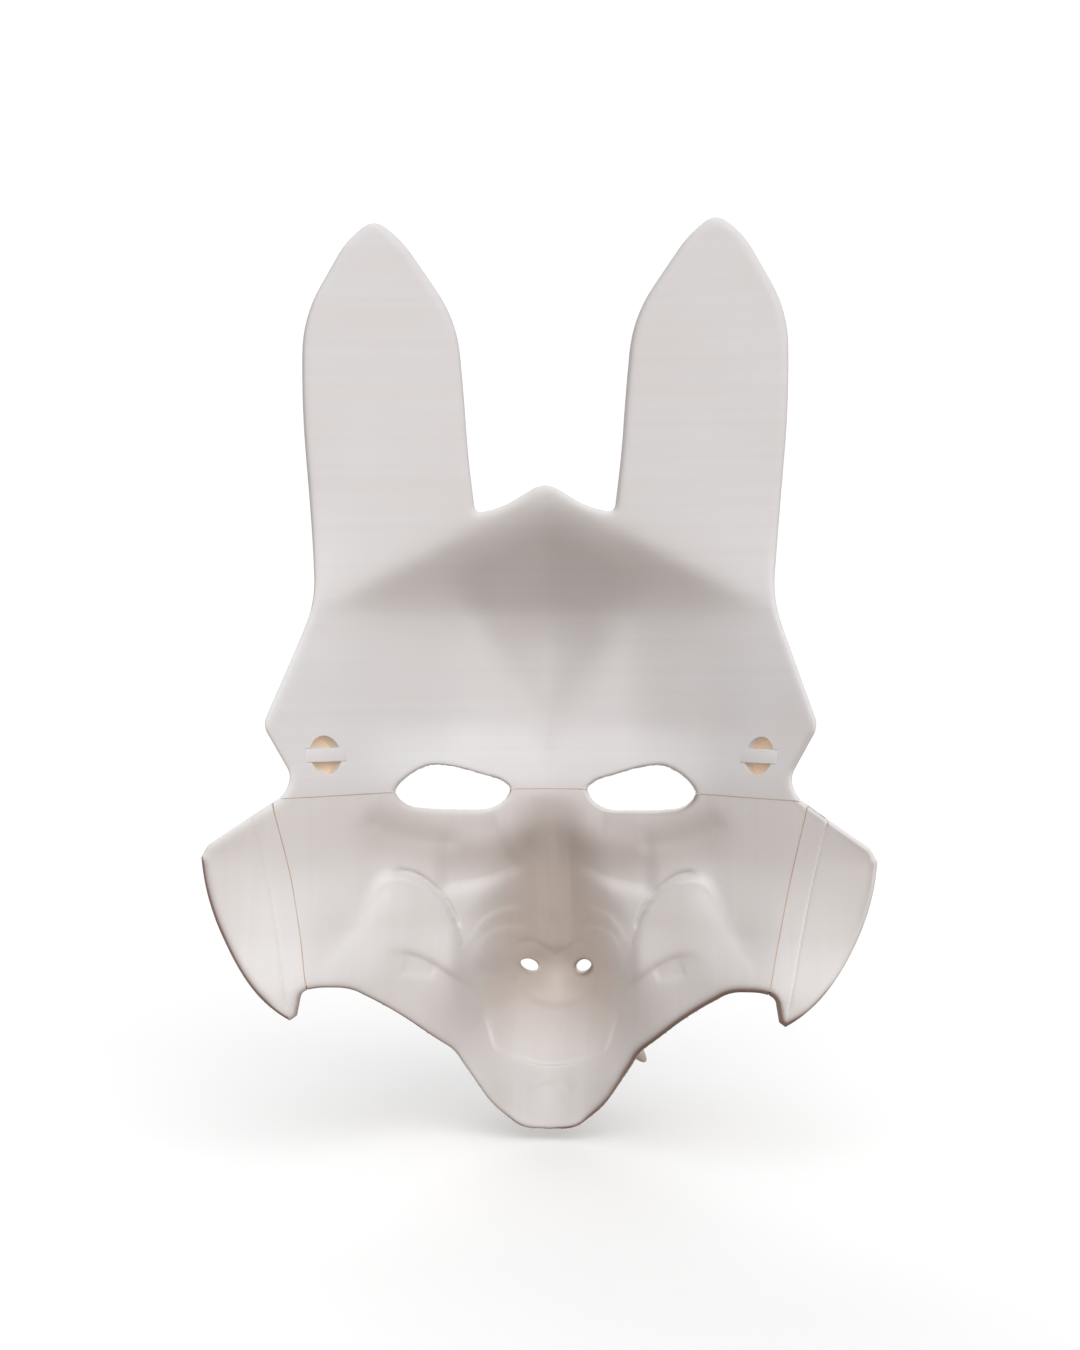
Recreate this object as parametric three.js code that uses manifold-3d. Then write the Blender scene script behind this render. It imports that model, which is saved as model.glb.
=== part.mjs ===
// Snarling beast mask with tall ears: a printed face shell glued from four parts,
// with two strap bars at the temples and two fangs on the lip.
// Frame: +X to the wearer's right, +Y forward out of the face, +Z up, millimetres.
// Z = 0 is the glued seam through the eyes and Y = 0 is the rearmost rim.
import * as THREE from 'three';
import { mergeVertices } from 'three/addons/utils/BufferGeometryUtils.js';
import Module from 'manifold-3d';

const wasm = await Module();
wasm.setup();

// ---------------------------------------------------------------- driving sizes
const WALL = 3.0; // thickness of every printed shell, square to its face
const GLUE_GAP = 0.3; // glue clearance between neighbouring parts

const EAR_TOP = 188; // ear tip above the seam
const EAR_TIP_X = 56; // ear tip from the symmetry plane
const EAR_POINT = 30; // height of the pointed end of the ear
const EAR_INNER_X = 26; // inner edge of the ear at mid height
const EAR_OUTER_X = 79.8; // outer edge of the ear at mid height
const EAR_NOTCH = new THREE.Vector2(23, 92); // where the ear meets the crest
const EAR_BASE = new THREE.Vector2(74, 63); // where the outer edge turns to the temple
const CREST_TOP = 101.5; // peak of the forehead between the ears
const TEMPLE = new THREE.Vector2(86.5, 23); // widest corner of the brow
const EAR_HOLLOW = new THREE.Vector2(78.2, 7); // the hollow above the cheek

const WING_REACH = 103.2; // half width over the wings
const WING_CORNER_Z = -17.5; // height of the wing's top corner
const WING_TIP = new THREE.Vector2(74, -67.6); // lower point of the wing
const WING_NOTCH = new THREE.Vector2(68, -58.5); // jaw edge just inside the wing's point
const CHIN_DROP = 116.2; // chin below the seam
const CHIN_HALF = 9; // half width of the blunt chin
const JAW_BEND = new THREE.Vector2(31, -87); // where the jaw edge steepens

const LAP = 6.5; // width of the half-lap joint under each wing
const WING_SEAM_X = 83.4; // wing seam at seam height
const WING_SEAM_LEAN = 0.211; // how far the wing seam leans in, per unit of drop

const EYE_X = 31.4; // eye centre from the symmetry plane
const EYE_Z = 0.8; // eye centre above the seam
const EYE_LENGTH = 36.6;
const EYE_HEIGHT = 15.6;
const EYE_SIDES = 28;
// Eye opening as shares of its half length, towards the temple, and half height.
const EYE_KNOTS = [
  [-1, -0.08], [-0.86, 0.26], [-0.5, 0.56], [0.05, 0.94], [0.45, 1], [0.82, 0.52],
  [1, -0.08], [0.8, -0.68], [0.4, -0.9], [-0.1, -0.98], [-0.62, -0.97], [-0.9, -0.6],
];

const NOSTRIL_X = 10;
const NOSTRIL_Z = -67.6;
const NOSTRIL_LENGTH = 7.2;
const NOSTRIL_HEIGHT = 4.2;
const NOSTRIL_TILT = 0.75; // radians, inner end lower
const NOSTRIL_SIDES = 14;

const ANCHOR = new THREE.Vector2(69, 13.2); // strap pocket centre
const POCKET_DIAMETER = 12.6;
const POCKET_DEPTH = 4.6;
const POCKET_FLOOR = 1.4;
const POCKET_RIM = 2.4; // wall round the pocket
const POCKET_SIDES = 32;
const BAR_HEIGHT = 4.6;
const BAR_THICKNESS = 2.2;
const BAR_SEAT = 1.6; // how far each bar end sits into the pocket wall

const FANG_ROOT = new THREE.Vector2(22.8, -84.2); // fang centre where it leaves the lip
const FANG_LENGTH = 20;
const FANG_RADIUS = 3.8;
const FANG_FULLNESS = 1.4; // above 1 keeps the tooth thick for longer before it tapers
const FANG_STAND = 1.4; // how far the tooth's own axis stands off the lip
const FANG_RINGS = 8;
const FANG_SIDES = 14;
const FANG_SPLAY_RIGHT = 0.6; // outward lean, radians; the fangs are set by hand and differ
const FANG_SPLAY_LEFT = 0.05;
const FANG_TILT = 0.5; // forward lean, radians

// Horizontal sections of the head form: height, then half width and depth pairs.
const SECTIONS = [
  [100, [0, 84], [25, 80], [50, 72], [75, 60], [104, 40]],
  [63, [0, 73], [25, 69], [50, 54], [75, 36.5], [104, 14]],
  [24, [0, 74], [25, 70], [50, 53], [70, 30.5], [86, 13], [104, -3]],
  [0, [0, 70], [13, 67.5], [30, 59.5], [50, 45.5], [69, 25], [80, 14.5], [104, -4]],
  [-20, [0, 75], [14, 69.5], [30, 60], [50, 45.5], [66, 29], [80, 15.5], [104, 1]],
  [-42, [0, 77], [16, 70], [30, 60], [46, 45], [62, 26.5], [76, 12], [104, 1]],
  [-60, [0, 77], [14, 70], [26, 58.5], [42, 42], [56, 23], [66, 10.5], [74, 4], [104, -4]],
  [-85, [0, 78], [12, 72], [24, 60], [36, 44], [50, 25], [74, 2], [104, -16]],
  [-117, [0, 64], [10, 62], [22, 52], [40, 34], [74, 0], [104, -28]],
];

// Snout along the midline: height, how far it stands forward, half width.
const SNOUT = [
  [0, 0, 9],
  [-10, 2.5, 10],
  [-25, 13, 13],
  [-42, 24, 17],
  [-58, 36, 20.5],
  [-68, 43, 22.5],
  [-76, 42, 23.5],
  [-84, 33, 24],
  [-92, 20, 24],
  [-100, 10.5, 23],
  [-110, 5, 20],
  [-117, 3, 18],
];
const SNOUT_POWER = 2.9; // how boxy the snout's cross-section is

const EAR_DEPTH = 47.5; // depth of the ear plane at the symmetry plane
const EAR_SWEEP = 0.1; // how much the ear plane falls back per unit outward
const VAULT_TOP = 95.5; // where the forehead hollow starts at the symmetry plane
const VAULT_FALL = 0.54; // how its edge drops per unit outward
const VAULT_RIDGE = 6; // roundness of the hollow's middle line
const VAULT_SLOPE = 1.15; // slope of the hollow's ceiling at its sides
const VAULT_SLOPE_MIDDLE = 0.9;
const VAULT_SLOPE_SPAN = [16, 32]; // half widths over which the slope grows
const BROW_HOLLOW_TIP = 19; // lower point of the shallow hollow over the nose
const BROW_HOLLOW_FLARE = 1.55; // how fast its edges climb per unit outward
const BROW_HOLLOW_SLOPE = 0.25; // how fast it deepens upwards
const BLEND = 5; // softness where the ear plane and the hollow meet

// Arch of the lifted lip: half width and height pairs.
const LIP_ARCH = [[26, -62], [31, -44], [36, -35], [44, -28.6], [51, -27], [58, -33], [66, -56]];
const GUM_STEP = 4; // how far the gum panels stand inside the lifted lip
const GUM_EDGE = 2.2; // softness of that step
const GUM_FADE_IN = [26, 32]; // half widths over which the step grows, beside the snout
const GUM_FADE_OUT = [45, 62]; // half widths over which it dies out on the cheek
const GUM_FADE_DOWN = [8, 42]; // drops below the arch over which the panel rejoins the jaw

const NOSE_PAD_RISE = 3; // how far the nose pad stands out
const NOSE_PAD_HALF = 15;
const NOSE_PAD_Z = -71;
const NOSE_PAD_HEIGHT = 22;
const CHIN_BUMP_RISE = 2;
const CHIN_BUMP_Z = -108.5;
const CHIN_BUMP_RADIUS = 6;

const CELL = 5.6; // mesh spacing over curved ground
const EAR_CELL = 20; // mesh spacing over the flat ears
const PROBE = 0.5; // half the distance over which a slope is measured
const MARGIN = 6; // how far a cutting volume runs past what it cuts
const REAR = -70; // a depth behind the whole mask
const FRONT = 190; // a depth in front of the whole mask

// ---------------------------------------------------------------- curve helpers
const clamp01 = (t) => Math.min(Math.max(t, 0), 1);
const smooth = (t) => clamp01(t) ** 2 * (3 - 2 * clamp01(t));
const softRamp = (t, soft) => (t + Math.hypot(t, soft)) / 2;
const softMin = (a, b, soft) => (a + b - Math.hypot(a - b, soft)) / 2;
const smoothBetween = ([from, to], t) => smooth((t - from) / (to - from));
const bell = (t) => Math.exp(-t * t);

// Shape-keeping cubic through knots with rising x; runs on straight past both ends.
function curveThrough(knots, t) {
  const last = knots.length - 1;
  const rise = (i) => (knots[i + 1][1] - knots[i][1]) / (knots[i + 1][0] - knots[i][0]);
  const tangent = (i) => {
    if (i === 0) return knots[0][0] === 0 ? 0 : rise(0);
    if (i === last) return rise(last - 1);
    const [a, b] = [rise(i - 1), rise(i)];
    return a * b <= 0 ? 0 : (2 * a * b) / (a + b);
  };
  if (t <= knots[0][0]) return knots[0][1] + tangent(0) * (t - knots[0][0]);
  if (t >= knots[last][0]) return knots[last][1] + tangent(last) * (t - knots[last][0]);
  let i = 0;
  while (t > knots[i + 1][0]) i += 1;
  const span = knots[i + 1][0] - knots[i][0];
  const u = (t - knots[i][0]) / span;
  const [start, end] = [knots[i][1], knots[i + 1][1]];
  const [leave, arrive] = [tangent(i) * span, tangent(i + 1) * span];
  const cubic = (2 * start - 2 * end + leave + arrive) * u ** 3;
  const square = (3 * end - 3 * start - 2 * leave - arrive) * u ** 2;
  return cubic + square + leave * u + start;
}

// The same curve over rows listed from the top down, reading one column of each row.
function curveDown(rows, z, column) {
  const knots = rows.map((row) => [-row[0], column(row)]);
  const held = Math.min(Math.max(-z, knots[0][0]), knots.at(-1)[0]);
  return curveThrough(knots, held);
}

// ---------------------------------------------------------------- the face form
function headDepth(x, z) {
  const aboveTip = z - BROW_HOLLOW_TIP - BROW_HOLLOW_FLARE * Math.abs(x);
  const hollow = BROW_HOLLOW_SLOPE * softRamp(aboveTip, 3);
  return curveDown(SECTIONS, z, (row) => curveThrough(row.slice(1), Math.abs(x))) + hollow;
}

function snoutDepth(x, z) {
  const stand = curveDown(SNOUT, z, (row) => row[1]);
  const half = curveDown(SNOUT, z, (row) => row[2]);
  return stand * Math.exp(-((Math.abs(x) / half) ** SNOUT_POWER));
}

function earDepth(x, z) {
  const vaultEdge = VAULT_TOP - VAULT_FALL * (Math.hypot(x, VAULT_RIDGE) - VAULT_RIDGE);
  const steeper = smoothBetween(VAULT_SLOPE_SPAN, Math.abs(x));
  const slope = VAULT_SLOPE_MIDDLE + (VAULT_SLOPE - VAULT_SLOPE_MIDDLE) * steeper;
  return EAR_DEPTH - EAR_SWEEP * Math.abs(x) + slope * softRamp(vaultEdge - z, BLEND);
}

const formDepth = (x, z) => softMin(headDepth(x, z), earDepth(x, z), BLEND) + snoutDepth(x, z);

// The lifted lip on each side: inside its arch the gum panel stands nearer the wearer.
function gumPanel(x, z) {
  const out = Math.abs(x);
  const drop = curveThrough(LIP_ARCH, out) - z;
  const across = smoothBetween(GUM_FADE_IN, out) * (1 - smoothBetween(GUM_FADE_OUT, out));
  const down = smooth(0.5 + drop / (2 * GUM_EDGE)) * (1 - smoothBetween(GUM_FADE_DOWN, drop));
  return -GUM_STEP * across * down;
}

function nosePad(x, z) {
  const off = Math.abs(z - NOSE_PAD_Z) / (NOSE_PAD_HEIGHT / 2);
  return NOSE_PAD_RISE * bell(x / NOSE_PAD_HALF) * (1 - smooth(off));
}

function chinBump(x, z) {
  return CHIN_BUMP_RISE * bell(Math.hypot(x, z - CHIN_BUMP_Z) / CHIN_BUMP_RADIUS);
}

const innerDepth = (x, z) => formDepth(x, z) + gumPanel(x, z) + nosePad(x, z) + chinBump(x, z);

// The two slopes of a depth field at a point.
function slopeOf(depth, x, z) {
  const across = (depth(x + PROBE, z) - depth(x - PROBE, z)) / (2 * PROBE);
  const up = (depth(x, z + PROBE) - depth(x, z - PROBE)) / (2 * PROBE);
  return [across, up];
}

// Depth through a layer for each unit of its thickness square to the face.
const stretch = (x, z) => Math.hypot(1, ...slopeOf(formDepth, x, z));

const outerDepth = (x, z) => innerDepth(x, z) + WALL * stretch(x, z);
const middleDepth = (x, z) => (innerDepth(x, z) + outerDepth(x, z)) / 2;

// ---------------------------------------------------------------- solids
function toSolid(geometry) {
  const bare = geometry.index ? geometry.toNonIndexed() : geometry.clone();
  bare.deleteAttribute('normal');
  bare.deleteAttribute('uv');
  const merged = mergeVertices(bare, 1e-4);
  const vertProperties = Float32Array.from(merged.attributes.position.array);
  const triVerts = Uint32Array.from(merged.index.array);
  return new wasm.Manifold(new wasm.Mesh({ numProp: 3, vertProperties, triVerts }));
}

function toGeometry(solid) {
  const mesh = solid.getMesh();
  const geometry = new THREE.BufferGeometry();
  geometry.setAttribute('position', new THREE.BufferAttribute(mesh.vertProperties, 3));
  geometry.setIndex(new THREE.BufferAttribute(mesh.triVerts, 1));
  return geometry;
}

// Closed block between two depth fields over a grid of x and z lines.
function blockBetween(xs, zs, rear, front) {
  const position = [];
  const index = [];
  const count = xs.length * zs.length;
  for (const depth of [rear, front]) {
    zs.forEach((z) => xs.forEach((x) => position.push(x, depth(x, z), z)));
  }
  const at = (i, j, side) => side * count + j * xs.length + i;
  const quad = (a, b, c, d) => index.push(a, b, c, a, c, d);
  for (let j = 0; j < zs.length - 1; j += 1) {
    for (let i = 0; i < xs.length - 1; i += 1) {
      quad(at(i, j, 0), at(i + 1, j, 0), at(i + 1, j + 1, 0), at(i, j + 1, 0));
      quad(at(i, j, 1), at(i, j + 1, 1), at(i + 1, j + 1, 1), at(i + 1, j, 1));
    }
  }
  const [right, top] = [xs.length - 1, zs.length - 1];
  for (let i = 0; i < right; i += 1) {
    quad(at(i, 0, 0), at(i, 0, 1), at(i + 1, 0, 1), at(i + 1, 0, 0));
    quad(at(i, top, 0), at(i + 1, top, 0), at(i + 1, top, 1), at(i, top, 1));
  }
  for (let j = 0; j < top; j += 1) {
    quad(at(0, j, 0), at(0, j + 1, 0), at(0, j + 1, 1), at(0, j, 1));
    quad(at(right, j, 0), at(right, j, 1), at(right, j + 1, 1), at(right, j + 1, 0));
  }
  const geometry = new THREE.BufferGeometry();
  geometry.setAttribute('position', new THREE.Float32BufferAttribute(position, 3));
  geometry.setIndex(index);
  return toSolid(geometry);
}

// Straight cutter along Y from an outline given in x and z.
function cutterFrom(points) {
  const shape = new THREE.Shape(points.map((p) => new THREE.Vector2(p.x, p.y)));
  const geometry = new THREE.ExtrudeGeometry(shape, { depth: FRONT - REAR, bevelEnabled: false });
  geometry.rotateX(Math.PI / 2);
  geometry.translate(0, FRONT, 0);
  return toSolid(geometry);
}

const mirrored = (points) => points.map((p) => new THREE.Vector2(-p.x, p.y)).reverse();

function spread(from, to, cell) {
  const steps = Math.max(1, Math.ceil((to - from) / cell));
  return Array.from({ length: steps + 1 }, (_, i) => from + ((to - from) * i) / steps);
}

const joined = (...lists) => [...new Set(lists.flat())];

// ---------------------------------------------------------------- outlines
// Polyline with rounded corners: each corner is x, z and its radius.
function roundedPath(corners, perArc = 5) {
  const points = [];
  corners.forEach(([x, z, radius], i) => {
    const here = new THREE.Vector2(x, z);
    if (!radius || i === 0 || i === corners.length - 1) {
      points.push(here);
      return;
    }
    const before = new THREE.Vector2(corners[i - 1][0], corners[i - 1][1]).sub(here);
    const after = new THREE.Vector2(corners[i + 1][0], corners[i + 1][1]).sub(here);
    const reach = Math.min(radius, before.length() * 0.48, after.length() * 0.48);
    const start = here.clone().add(before.setLength(reach));
    const end = here.clone().add(after.setLength(reach));
    points.push(...new THREE.QuadraticBezierCurve(start, here, end).getPoints(perArc));
  });
  return points;
}

// Right half of the mask's edge, from the crest clockwise to the chin.
function edgeRightHalf() {
  const shoulder = EAR_TOP - EAR_POINT;
  const above = roundedPath([
    [0, CREST_TOP],
    [3, CREST_TOP - 0.6, 4],
    [EAR_NOTCH.x - 9, EAR_NOTCH.y + 2.2, 5],
    [EAR_NOTCH.x, EAR_NOTCH.y, 3],
    [EAR_INNER_X - 0.6, EAR_NOTCH.y + 20, 12],
    [EAR_INNER_X + 0.6, EAR_NOTCH.y + 38, 12],
    [EAR_INNER_X + 3, shoulder - 2, 12],
    [EAR_TIP_X - 9, EAR_TOP - 6, 8],
    [EAR_TIP_X, EAR_TOP + 1, 5],
    [EAR_TIP_X + 9, EAR_TOP - 6.5, 8],
    [EAR_OUTER_X - 0.6, shoulder - 2, 12],
    [EAR_OUTER_X - 0.6, EAR_BASE.y + 62, 30],
    [EAR_BASE.x, EAR_BASE.y, 8],
    [TEMPLE.x, TEMPLE.y, 3],
    [EAR_HOLLOW.x, EAR_HOLLOW.y, 5],
    [EAR_HOLLOW.x + 1.8, EAR_HOLLOW.y - 6, 5],
    [WING_REACH - 2.2, WING_CORNER_Z + 4, 0],
  ]);
  const outer = new THREE.CubicBezierCurve(
    new THREE.Vector2(WING_REACH, WING_CORNER_Z),
    new THREE.Vector2(WING_REACH - 1.4, WING_CORNER_Z - 22),
    new THREE.Vector2(WING_TIP.x + 16.5, WING_TIP.y + 9.5),
    new THREE.Vector2(WING_TIP.x + 1.8, WING_TIP.y),
  ).getPoints(14);
  const below = roundedPath([
    [WING_TIP.x, WING_TIP.y + 1.2, 0],
    [WING_TIP.x - 1.2, WING_NOTCH.y - 0.4, 3],
    [WING_NOTCH.x, WING_NOTCH.y, 3],
    [WING_NOTCH.x - 8, WING_NOTCH.y - 1.5, 6],
    [WING_NOTCH.x - 22, WING_NOTCH.y - 12.5, 10],
    [JAW_BEND.x, JAW_BEND.y, 6],
    [JAW_BEND.x - 3, JAW_BEND.y - 6, 5],
    [CHIN_HALF + 10, -CHIN_DROP + 9, 6],
    [CHIN_HALF, -CHIN_DROP + 0.5, 6],
    [0, -CHIN_DROP],
  ]);
  return [...above, ...outer, ...below];
}

function maskEdge() {
  const right = edgeRightHalf();
  return [...right, ...mirrored(right).slice(1, -1)];
}

// Eye opening of one side, higher and rounder towards the temple.
function eyeOutline(side) {
  const points = EYE_KNOTS.map(([u, w]) => {
    return new THREE.Vector2(side * (EYE_X + (u * EYE_LENGTH) / 2), EYE_Z + (w * EYE_HEIGHT) / 2);
  });
  const loop = new THREE.CatmullRomCurve3(points.map((p) => new THREE.Vector3(p.x, p.y, 0)), true);
  const smoothLoop = loop.getPoints(EYE_SIDES).slice(0, -1).map((p) => new THREE.Vector2(p.x, p.y));
  return side > 0 ? smoothLoop : smoothLoop.reverse();
}

function nostrilOutline(side) {
  return Array.from({ length: NOSTRIL_SIDES }, (_, i) => {
    const turn = (i / NOSTRIL_SIDES) * 2 * Math.PI;
    const u = (Math.cos(turn) * NOSTRIL_LENGTH) / 2;
    const w = (Math.sin(turn) * NOSTRIL_HEIGHT) / 2;
    const lean = side * NOSTRIL_TILT;
    const x = side * NOSTRIL_X + u * Math.cos(lean) - w * Math.sin(lean);
    return new THREE.Vector2(x, NOSTRIL_Z + u * Math.sin(lean) + w * Math.cos(lean));
  });
}

// Everything further out than the wing seam on one side, shifted out by a distance.
function beyondWingSeam(side, shift) {
  const low = -CHIN_DROP - MARGIN;
  const high = EAR_HOLLOW.y + MARGIN;
  const far = WING_REACH + MARGIN;
  const seamX = (z) => WING_SEAM_X + WING_SEAM_LEAN * z + shift;
  const points = [[seamX(low), low], [far, low], [far, high], [seamX(high), high]];
  const right = points.map(([x, z]) => new THREE.Vector2(x, z));
  return cutterFrom(side > 0 ? right : mirrored(right));
}

function band(low, high) {
  const far = WING_REACH + MARGIN;
  const corners = [[-far, low], [far, low], [far, high], [-far, high]];
  return cutterFrom(corners.map(([x, z]) => new THREE.Vector2(x, z)));
}

// ---------------------------------------------------------------- grids
const BROW_XS = spread(-TEMPLE.x - MARGIN, TEMPLE.x + MARGIN, CELL);
const BROW_ZS = joined(spread(-MARGIN, CREST_TOP, CELL), spread(CREST_TOP, EAR_TOP + MARGIN, EAR_CELL));
const LOW_XS = spread(-WING_REACH - MARGIN, WING_REACH + MARGIN, CELL);
const LOW_ZS = spread(-CHIN_DROP - MARGIN, MARGIN, CELL);

const EDGE = cutterFrom(maskEdge());
const EYES = [1, -1].map((side) => cutterFrom(eyeOutline(side)));

// ---------------------------------------------------------------- parts
// Frame of one strap pocket: X along the bar, Y up the face, Z forward through the wall.
function anchorFrame(side) {
  const [across, up] = slopeOf(innerDepth, ANCHOR.x, ANCHOR.y);
  const along = new THREE.Vector3(1, side * across, 0).normalize();
  const forward = new THREE.Vector3(-side * across, 1, -up).normalize();
  const rise = new THREE.Vector3().crossVectors(forward, along);
  const place = new THREE.Vector3(side * ANCHOR.x, innerDepth(ANCHOR.x, ANCHOR.y), ANCHOR.y);
  return new THREE.Matrix4().makeBasis(along, rise, forward).setPosition(place);
}

// Round plug along the pocket's own axis, from one depth to another.
function plug(side, radius, from, to) {
  const geometry = new THREE.CylinderGeometry(radius, radius, to - from, POCKET_SIDES);
  geometry.rotateX(Math.PI / 2);
  geometry.translate(0, 0, (from + to) / 2);
  return toSolid(geometry.applyMatrix4(anchorFrame(side)));
}

function barBlock(side, grow, rearReach) {
  const length = POCKET_DIAMETER + 2 * BAR_SEAT + 2 * grow;
  const depth = BAR_THICKNESS + grow + rearReach;
  const geometry = new THREE.BoxGeometry(length, BAR_HEIGHT + 2 * grow, depth);
  geometry.translate(0, 0, BAR_THICKNESS + grow - depth / 2);
  return toSolid(geometry.applyMatrix4(anchorFrame(side)));
}

function browShell() {
  let shell = blockBetween(BROW_XS, BROW_ZS, innerDepth, outerDepth);
  shell = shell.intersect(EDGE).intersect(band(GLUE_GAP / 2, EAR_TOP + MARGIN));
  EYES.forEach((eye) => {
    shell = shell.subtract(eye);
  });
  [1, -1].forEach((side) => {
    const radius = POCKET_DIAMETER / 2;
    shell = shell.add(plug(side, radius + POCKET_RIM, WALL / 2, POCKET_DEPTH + POCKET_FLOOR));
    shell = shell.subtract(plug(side, radius, -MARGIN, POCKET_DEPTH));
    shell = shell.subtract(barBlock(side, GLUE_GAP, MARGIN));
  });
  return shell;
}

function muzzleShell() {
  let shell = blockBetween(LOW_XS, LOW_ZS, innerDepth, outerDepth);
  shell = shell.intersect(EDGE).intersect(band(-CHIN_DROP - MARGIN, -GLUE_GAP / 2));
  EYES.forEach((eye) => {
    shell = shell.subtract(eye);
  });
  const lapFace = (x, z) => middleDepth(x, z) + (GLUE_GAP / 2) * stretch(x, z);
  const behindLap = blockBetween(LOW_XS, LOW_ZS, () => REAR, lapFace);
  [1, -1].forEach((side) => {
    shell = shell.subtract(cutterFrom(nostrilOutline(side)));
    shell = shell.subtract(beyondWingSeam(side, LAP - GLUE_GAP / 2));
    shell = shell.subtract(behindLap.intersect(beyondWingSeam(side, -GLUE_GAP / 2)));
  });
  return shell;
}

function cheekWing(side) {
  let wing = blockBetween(LOW_XS, LOW_ZS, innerDepth, outerDepth);
  wing = wing.intersect(EDGE).intersect(band(-CHIN_DROP - MARGIN, -GLUE_GAP / 2));
  wing = wing.intersect(beyondWingSeam(side, GLUE_GAP / 2));
  const lapFace = (x, z) => middleDepth(x, z) - (GLUE_GAP / 2) * stretch(x, z);
  const beforeLap = blockBetween(LOW_XS, LOW_ZS, lapFace, () => FRONT);
  return wing.subtract(beforeLap.subtract(beyondWingSeam(side, LAP + GLUE_GAP / 2)));
}

// Round tooth standing on the lip, tapering to a point; its back is cut to the lip's own face.
function fang(side) {
  const profile = Array.from({ length: FANG_RINGS + 1 }, (_, i) => {
    const t = i / FANG_RINGS;
    return new THREE.Vector2(FANG_RADIUS * Math.sqrt(1 - t ** FANG_FULLNESS), t * FANG_LENGTH);
  });
  const geometry = new THREE.LatheGeometry([new THREE.Vector2(0, 0), ...profile], FANG_SIDES);
  geometry.rotateX(FANG_TILT - Math.PI / 2);
  geometry.rotateY(-side * (side > 0 ? FANG_SPLAY_RIGHT : FANG_SPLAY_LEFT));
  const lipDepth = outerDepth(FANG_ROOT.x, FANG_ROOT.y);
  geometry.translate(side * FANG_ROOT.x, lipDepth + FANG_STAND, FANG_ROOT.y);
  const lipFace = (x, z) => outerDepth(x, z) + GLUE_GAP * stretch(x, z);
  const behindLip = blockBetween(LOW_XS, LOW_ZS, () => REAR, lipFace);
  return toSolid(geometry).subtract(behindLip);
}

// ---------------------------------------------------------------- scene graph
const mask = new THREE.Group();

function addPart(name, solid, color, roughness) {
  const material = new THREE.MeshStandardMaterial({ color, roughness, metalness: 0 });
  const mesh = new THREE.Mesh(toGeometry(solid), material);
  mesh.name = name;
  mask.add(mesh);
}

const SHELL_WHITE = 0xded9d5;
const BAR_WHITE = 0xdcd6d2;
const FANG_WHITE = 0xe4dfda;
const SHELL_ROUGHNESS = 0.6;
const FANG_ROUGHNESS = 0.5;

addPart('brow_shell', browShell(), SHELL_WHITE, SHELL_ROUGHNESS);
addPart('muzzle_shell', muzzleShell(), SHELL_WHITE, SHELL_ROUGHNESS);
[['right', 1], ['left', -1]].forEach(([name, side]) => {
  addPart(`cheek_wing_${name}`, cheekWing(side), SHELL_WHITE, SHELL_ROUGHNESS);
  addPart(`strap_bar_${name}`, barBlock(side, 0, 0), BAR_WHITE, SHELL_ROUGHNESS);
  addPart(`fang_${name}`, fang(side), FANG_WHITE, FANG_ROUGHNESS);
});

export default mask;
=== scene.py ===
"""Looks of the snarling beast mask.

A printed shell glued from four parts is seen from the wearer's side: a brow with tall ears, a muzzle
with a deep snout channel, and two cheek wings. Strap bars cross round pockets at the temples, and two
fangs stand on the outside of the lip. Sizes are in millimetres until a mesh is made.
"""

import logging
import math
from dataclasses import dataclass, field
from enum import Enum
from functools import cache
from typing import Any, Callable, Iterable, Sequence

import bmesh
import bpy
import numpy as np
from mathutils import Matrix, Vector
from mathutils.geometry import delaunay_2d_cdt


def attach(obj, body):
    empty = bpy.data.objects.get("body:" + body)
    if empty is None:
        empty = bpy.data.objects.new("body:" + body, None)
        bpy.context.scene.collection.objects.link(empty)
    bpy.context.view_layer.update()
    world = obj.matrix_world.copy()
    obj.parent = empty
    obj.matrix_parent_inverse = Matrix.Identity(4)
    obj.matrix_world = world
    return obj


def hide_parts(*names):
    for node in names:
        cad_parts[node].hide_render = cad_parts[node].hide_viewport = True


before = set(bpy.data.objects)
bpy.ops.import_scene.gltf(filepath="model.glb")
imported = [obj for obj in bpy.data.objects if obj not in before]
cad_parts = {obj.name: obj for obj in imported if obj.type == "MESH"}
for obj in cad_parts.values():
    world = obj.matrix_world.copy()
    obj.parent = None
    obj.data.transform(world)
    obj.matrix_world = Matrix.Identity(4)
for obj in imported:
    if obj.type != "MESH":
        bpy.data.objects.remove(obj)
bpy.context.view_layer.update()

LOG = logging.getLogger("beast_mask")
MM = 0.001
BODY = "root"
FINE, MIDDLE, WIDE = 1.1, 1.6, 2.4

Array = np.ndarray
Spacing = Callable[[Array, Array], Array]
Triple = tuple[float, float, float]
Point = tuple[float, float]


class Side(Enum):
    """Which half of the mask a paired piece belongs to, as the sign of its x."""

    RIGHT = 1
    LEFT = -1

    @property
    def word(self) -> str:
        """The side's name inside piece names."""
        return self.name.lower()


class Slot(Enum):
    """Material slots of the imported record."""

    SHELL = "shell"
    BAR = "bar"
    FANG = "fang"


class Relief(Enum):
    """Cross-section of a fold pressed into the wall."""

    GROOVE = "groove"
    RIDGE = "ridge"
    TERRACE = "terrace"


# ---------------------------------------------------------------------------------- curve helpers
def clamp01(t: Array) -> Array:
    """Value held between 0 and 1."""
    return np.clip(t, 0.0, 1.0)


def smooth(t: Array) -> Array:
    """Smooth step from 0 to 1."""
    held = clamp01(t)
    return held * held * (3.0 - 2.0 * held)


def smooth_between(span: Point, t: Array) -> Array:
    """Smooth step that rises over a span."""
    return smooth((t - span[0]) / (span[1] - span[0]))


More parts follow.
